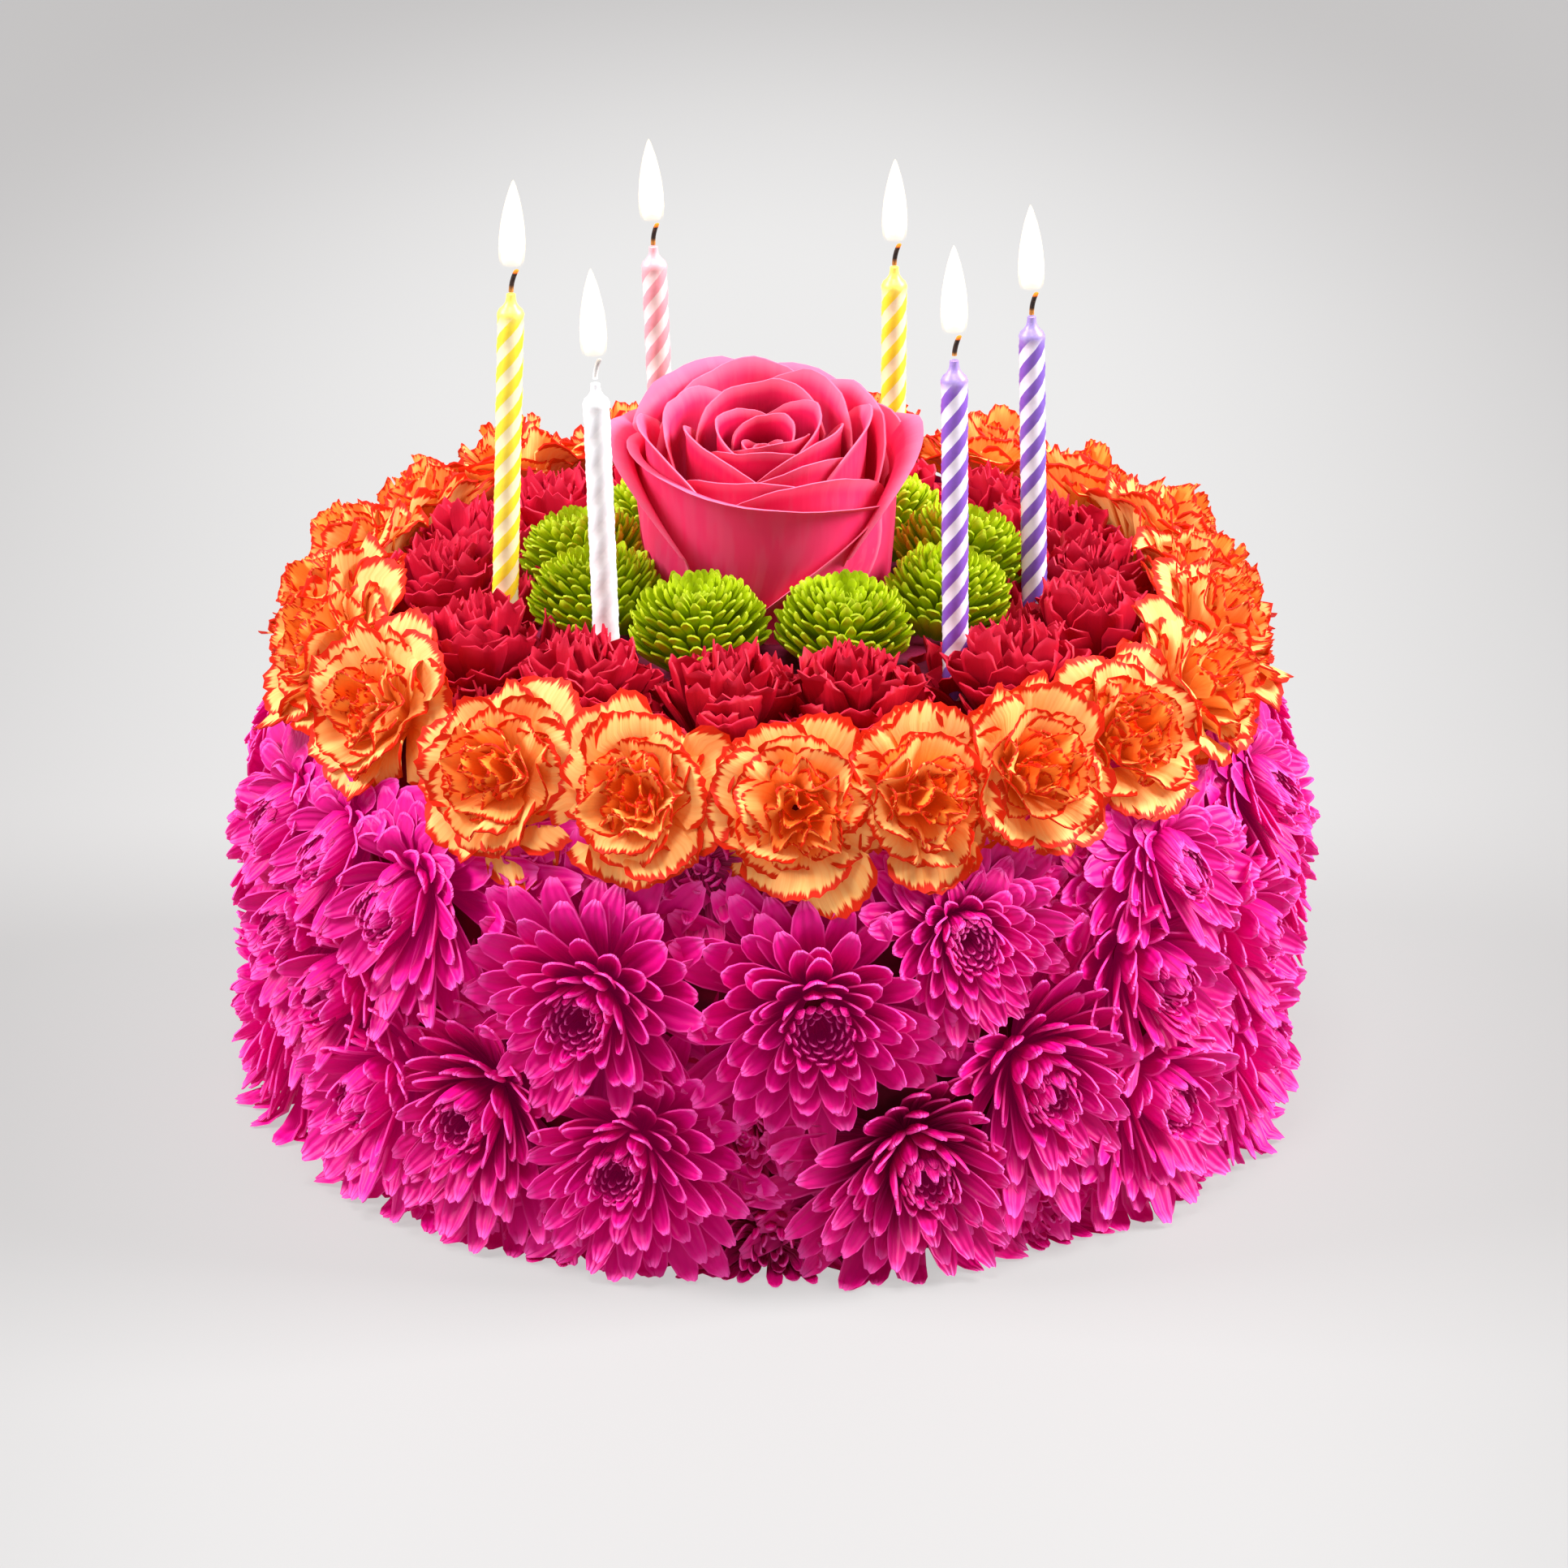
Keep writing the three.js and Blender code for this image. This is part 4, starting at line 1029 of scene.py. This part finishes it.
# %% Model the candles
CANDLES = [  # name, x, y at the height of the flowers, shoulder, lean, coloured wax, pale wax
    ("yellow_left", -53.1, -23, 171.5, 2.0, (255, 228, 30), (250, 238, 190)),
    ("white", -32.4, -45, 160, -1.7, (234, 234, 237), (242, 242, 243)),
    ("pink", -22.9, 48, 161, -2.0, (250, 158, 172), (253, 226, 226)),
    ("yellow_right", 25.1, 45, 157.5, 0, (255, 228, 30), (250, 238, 190)),
    ("purple_front", 35.8, -43, 164, -0.8, (124, 66, 190), (236, 230, 246)),
    ("purple_right", 52.8, -3, 161, -1.4, (116, 72, 186), (236, 232, 248)),
]
CANDLE_RADIUS = 2.7
CANDLE_PITCH = 18.6
FLOWER_LEVEL = 112
CANDLE_FOOT = 99
NECK_LENGTH = 3.8
CANDLE_NECK = [  # radius, height over the shoulder
    (CANDLE_RADIUS, -0.3), (2.35, 0.5), (1.6, 1.2), (1.1, 2.0), (0.95, 2.8), (0.9, NECK_LENGTH - 0.15),
    (0.6, NECK_LENGTH),
]


def candle_place(x, y, lean):
    """Leans a candle and sets it among the flowers."""
    middle = Matrix.Translation((x * MM, y * MM, FLOWER_LEVEL * MM))
    return middle @ Matrix.Rotation(math.radians(lean), 4, "Y")


def set_up(thing, place, tags, slot, finish, node):
    """Places a modelled piece with its tags, and lets it stand for its CAD node."""
    mesh = thing.data
    tag_points(mesh, tags)
    mesh.transform(place)
    mesh.materials.append(finish)
    adopt(thing, slot, node)


def points_of(thing):
    """The points of a mesh in millimetres."""
    return read(thing.data.vertices, "co", 3) / MM


def wax_finish(name, strong, pale):
    """Striped wax: the first tag is the stripe, the second the melted top."""
    wax = Finish("wax_" + name, Roughness=0.4, Coat_Weight=0.15, Coat_Roughness=0.3)
    stripe = wax.chance.step(-0.12, 0.12)
    mottle = wax.noise(700.0, 3.0)
    pale_wax = (mottle * 0.3).tint(pale, tuple(min(255, c + 4) for c in pale))
    strong_wax = (mottle * 0.25).tint(strong, tuple(0.5 * (a + b) for a, b in zip(strong, pale)))
    melted = (0.3 * mottle + 0.12).tint(strong, pale)
    wax_base = wax.reach.tint(stripe.tint(pale_wax, strong_wax), melted)
    return wax.paint(wax_base, 0.32 + 0.16 * mottle, mottle, 0.00015)


for name, x, y, top, lean, strong, pale in CANDLES:
    place = candle_place(x, y, lean)
    foot, shoulder = CANDLE_FOOT - FLOWER_LEVEL, top - FLOWER_LEVEL
    steps = round((shoulder - foot) / 1.5)
    straight = shoulder - 0.9
    profile = [(CANDLE_RADIUS, foot + (straight - foot) * k / steps) for k in range(steps + 1)]
    profile += [(radius, shoulder + rise) for radius, rise in CANDLE_NECK]
    candle = turned("candle_wax_" + name, 36, profile, 360 / CANDLE_PITCH)
    points = points_of(candle)
    wound = FULL_TURN * (points[:, 2] - foot) / CANDLE_PITCH
    around = np.arctan2(points[:, 1], points[:, 0]) - wound
    stripe = np.cos(3 * around)
    flute = 1 - 0.045 * (0.5 - 0.5 * stripe) * (points[:, 2] < straight)
    points[:, :2] *= flute[:, None]
    candle.data.vertices.foreach_set("co", (points * MM).ravel())
    melted = np.clip((points[:, 2] - shoulder + 1.4) / 0.8, 0, 1)
    finish, slot = wax_finish(name, strong, pale), "wax_" + name.split("_")[0]
    set_up(candle, place, tagged(stripe, melted), slot, finish, "candle_" + name)
print("candles:", len(CANDLES))

# %% [markdown]
# ## Wicks and flames
# The wick is charred cotton that bends over, with an ember at its end. A flame is a teardrop of
# light. It has a white-hot heart and a faint yellow shell, which fades towards the wick.

# %% Light the candles
char = Finish("charred_wick", Roughness=0.9, Emission_Strength=0.8)
ember = char.chance.step(0.78, 0.92)
soaked = 1 - char.chance.step(0.1, 0.34)
char_base = soaked.tint((34, 22, 18), (196, 128, 52))
char_base = (char.noise(900.0).step(0.4, 0.7) * 0.5).tint(char_base, (70, 44, 30))
char_base = ember.tint(char_base, (226, 110, 20))
char_finish = char.paint(char_base, None, char.noise(1500.0), 0.0003)
char_glow = ember.tint((0, 0, 0, 1), (255, 120, 20))
char.link(char_glow, "Emission Color")

pale_wick = Finish("fresh_wick", Roughness=0.9)
pale_base = pale_wick.chance.step(0.3, 0.9).tint((226, 224, 222), (176, 170, 168))
pale_finish = pale_wick.paint(pale_base, None, pale_wick.noise(1500.0), 0.0003)

heart = Finish("flame_heart", Roughness=1.0, Emission_Strength=1.6)
heart_glow = heart.chance.step(0.0, 0.3).tint((255, 226, 160), (255, 252, 240))
heart.link(heart_glow, "Emission Color")
heart_finish = heart.paint((heart.noise(60.0) * 0.1).tint((1, 0.9, 0.7, 1), (1, 1, 0.9, 1)))
heart.link(heart.chance.step(0.0, 0.34), "Alpha")

shell = Finish("flame_shell", Roughness=1.0, Emission_Strength=1.0)
shell_glow = shell.chance.step(0.0, 0.5).tint((255, 210, 120), (255, 236, 170))
shell.link(shell_glow, "Emission Color")
shell_finish = shell.paint((shell.noise(60.0) * 0.1).tint((1, 0.85, 0.6, 1), (1, 0.9, 0.7, 1)))
shell.link(0.3 * shell.chance.step(0.0, 0.3), "Alpha")

WICK_LENGTH = 4.6
WICK_RADIUS = 0.5
FLAME_LENGTH = 17.6
FLAME_PROFILE = [(0.4, 0), (0.8, 0.02), (0.93, 0.08), (1, 0.2), (0.98, 0.34), (0.88, 0.5), (0.72, 0.64),
                 (0.5, 0.79), (0.28, 0.9), (0.12, 0.97), (0.02, 1)]
FLAME_PARTS = [("heart", 2.15, 0.95, 0.3, heart_finish), ("shell", 2.6, 1, 0, shell_finish)]
for name, x, y, top, lean, strong, pale in CANDLES:
    place = candle_place(x, y, lean)
    foot = top - FLOWER_LEVEL + NECK_LENGTH + 0.3
    profile = [(WICK_RADIUS, foot + WICK_LENGTH * k / 8) for k in range(8)]
    profile += [(0.9 * WICK_RADIUS, foot + 0.96 * WICK_LENGTH), (0.5 * WICK_RADIUS, foot + WICK_LENGTH)]
    wick = turned("wick_cotton_" + name, 10, profile)
    points = points_of(wick)
    share = (points[:, 2] - foot) / WICK_LENGTH
    points[:, 0] += 1.1 * share ** 2.2
    points[:, 2] -= 0.5 * np.maximum(0, share - 0.7) ** 1.5 * (points[:, 0] - 0.4)
    wick.data.vertices.foreach_set("co", (points * MM).ravel())
    finish = pale_finish if name == "white" else char_finish
    set_up(wick, place, tagged(share), "wick", finish, "wick_" + name)

    foot = foot + WICK_LENGTH + 0.25
    for part, wide, long, sink, finish in FLAME_PARTS:
        profile = [(wide * r, foot + sink + FLAME_LENGTH * long * h) for r, h in FLAME_PROFILE]
        flame = turned(f"flame_{part}_{name}", 24, profile)
        share = (points_of(flame)[:, 2] - foot) / FLAME_LENGTH
        set_up(flame, place, tagged(share), "flame", finish, "flame_" + name)
print("flames lit:", len(CANDLES))

# %% [markdown]
# ## Print the size
# The dressed cake has to stay the size of the CAD model, so both boxes are printed.

# %% Print both boxes and finish
def plain(box):
    """A box as lists of numbers."""
    return [[float(x) for x in corner] for corner in box]


sizes = {"cad": plain(cad_box), "visual": plain(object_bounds())}
for key, (low, high) in sizes.items():
    print(key, [round((b - a) / MM, 1) for a, b in zip(low, high)], "mm")
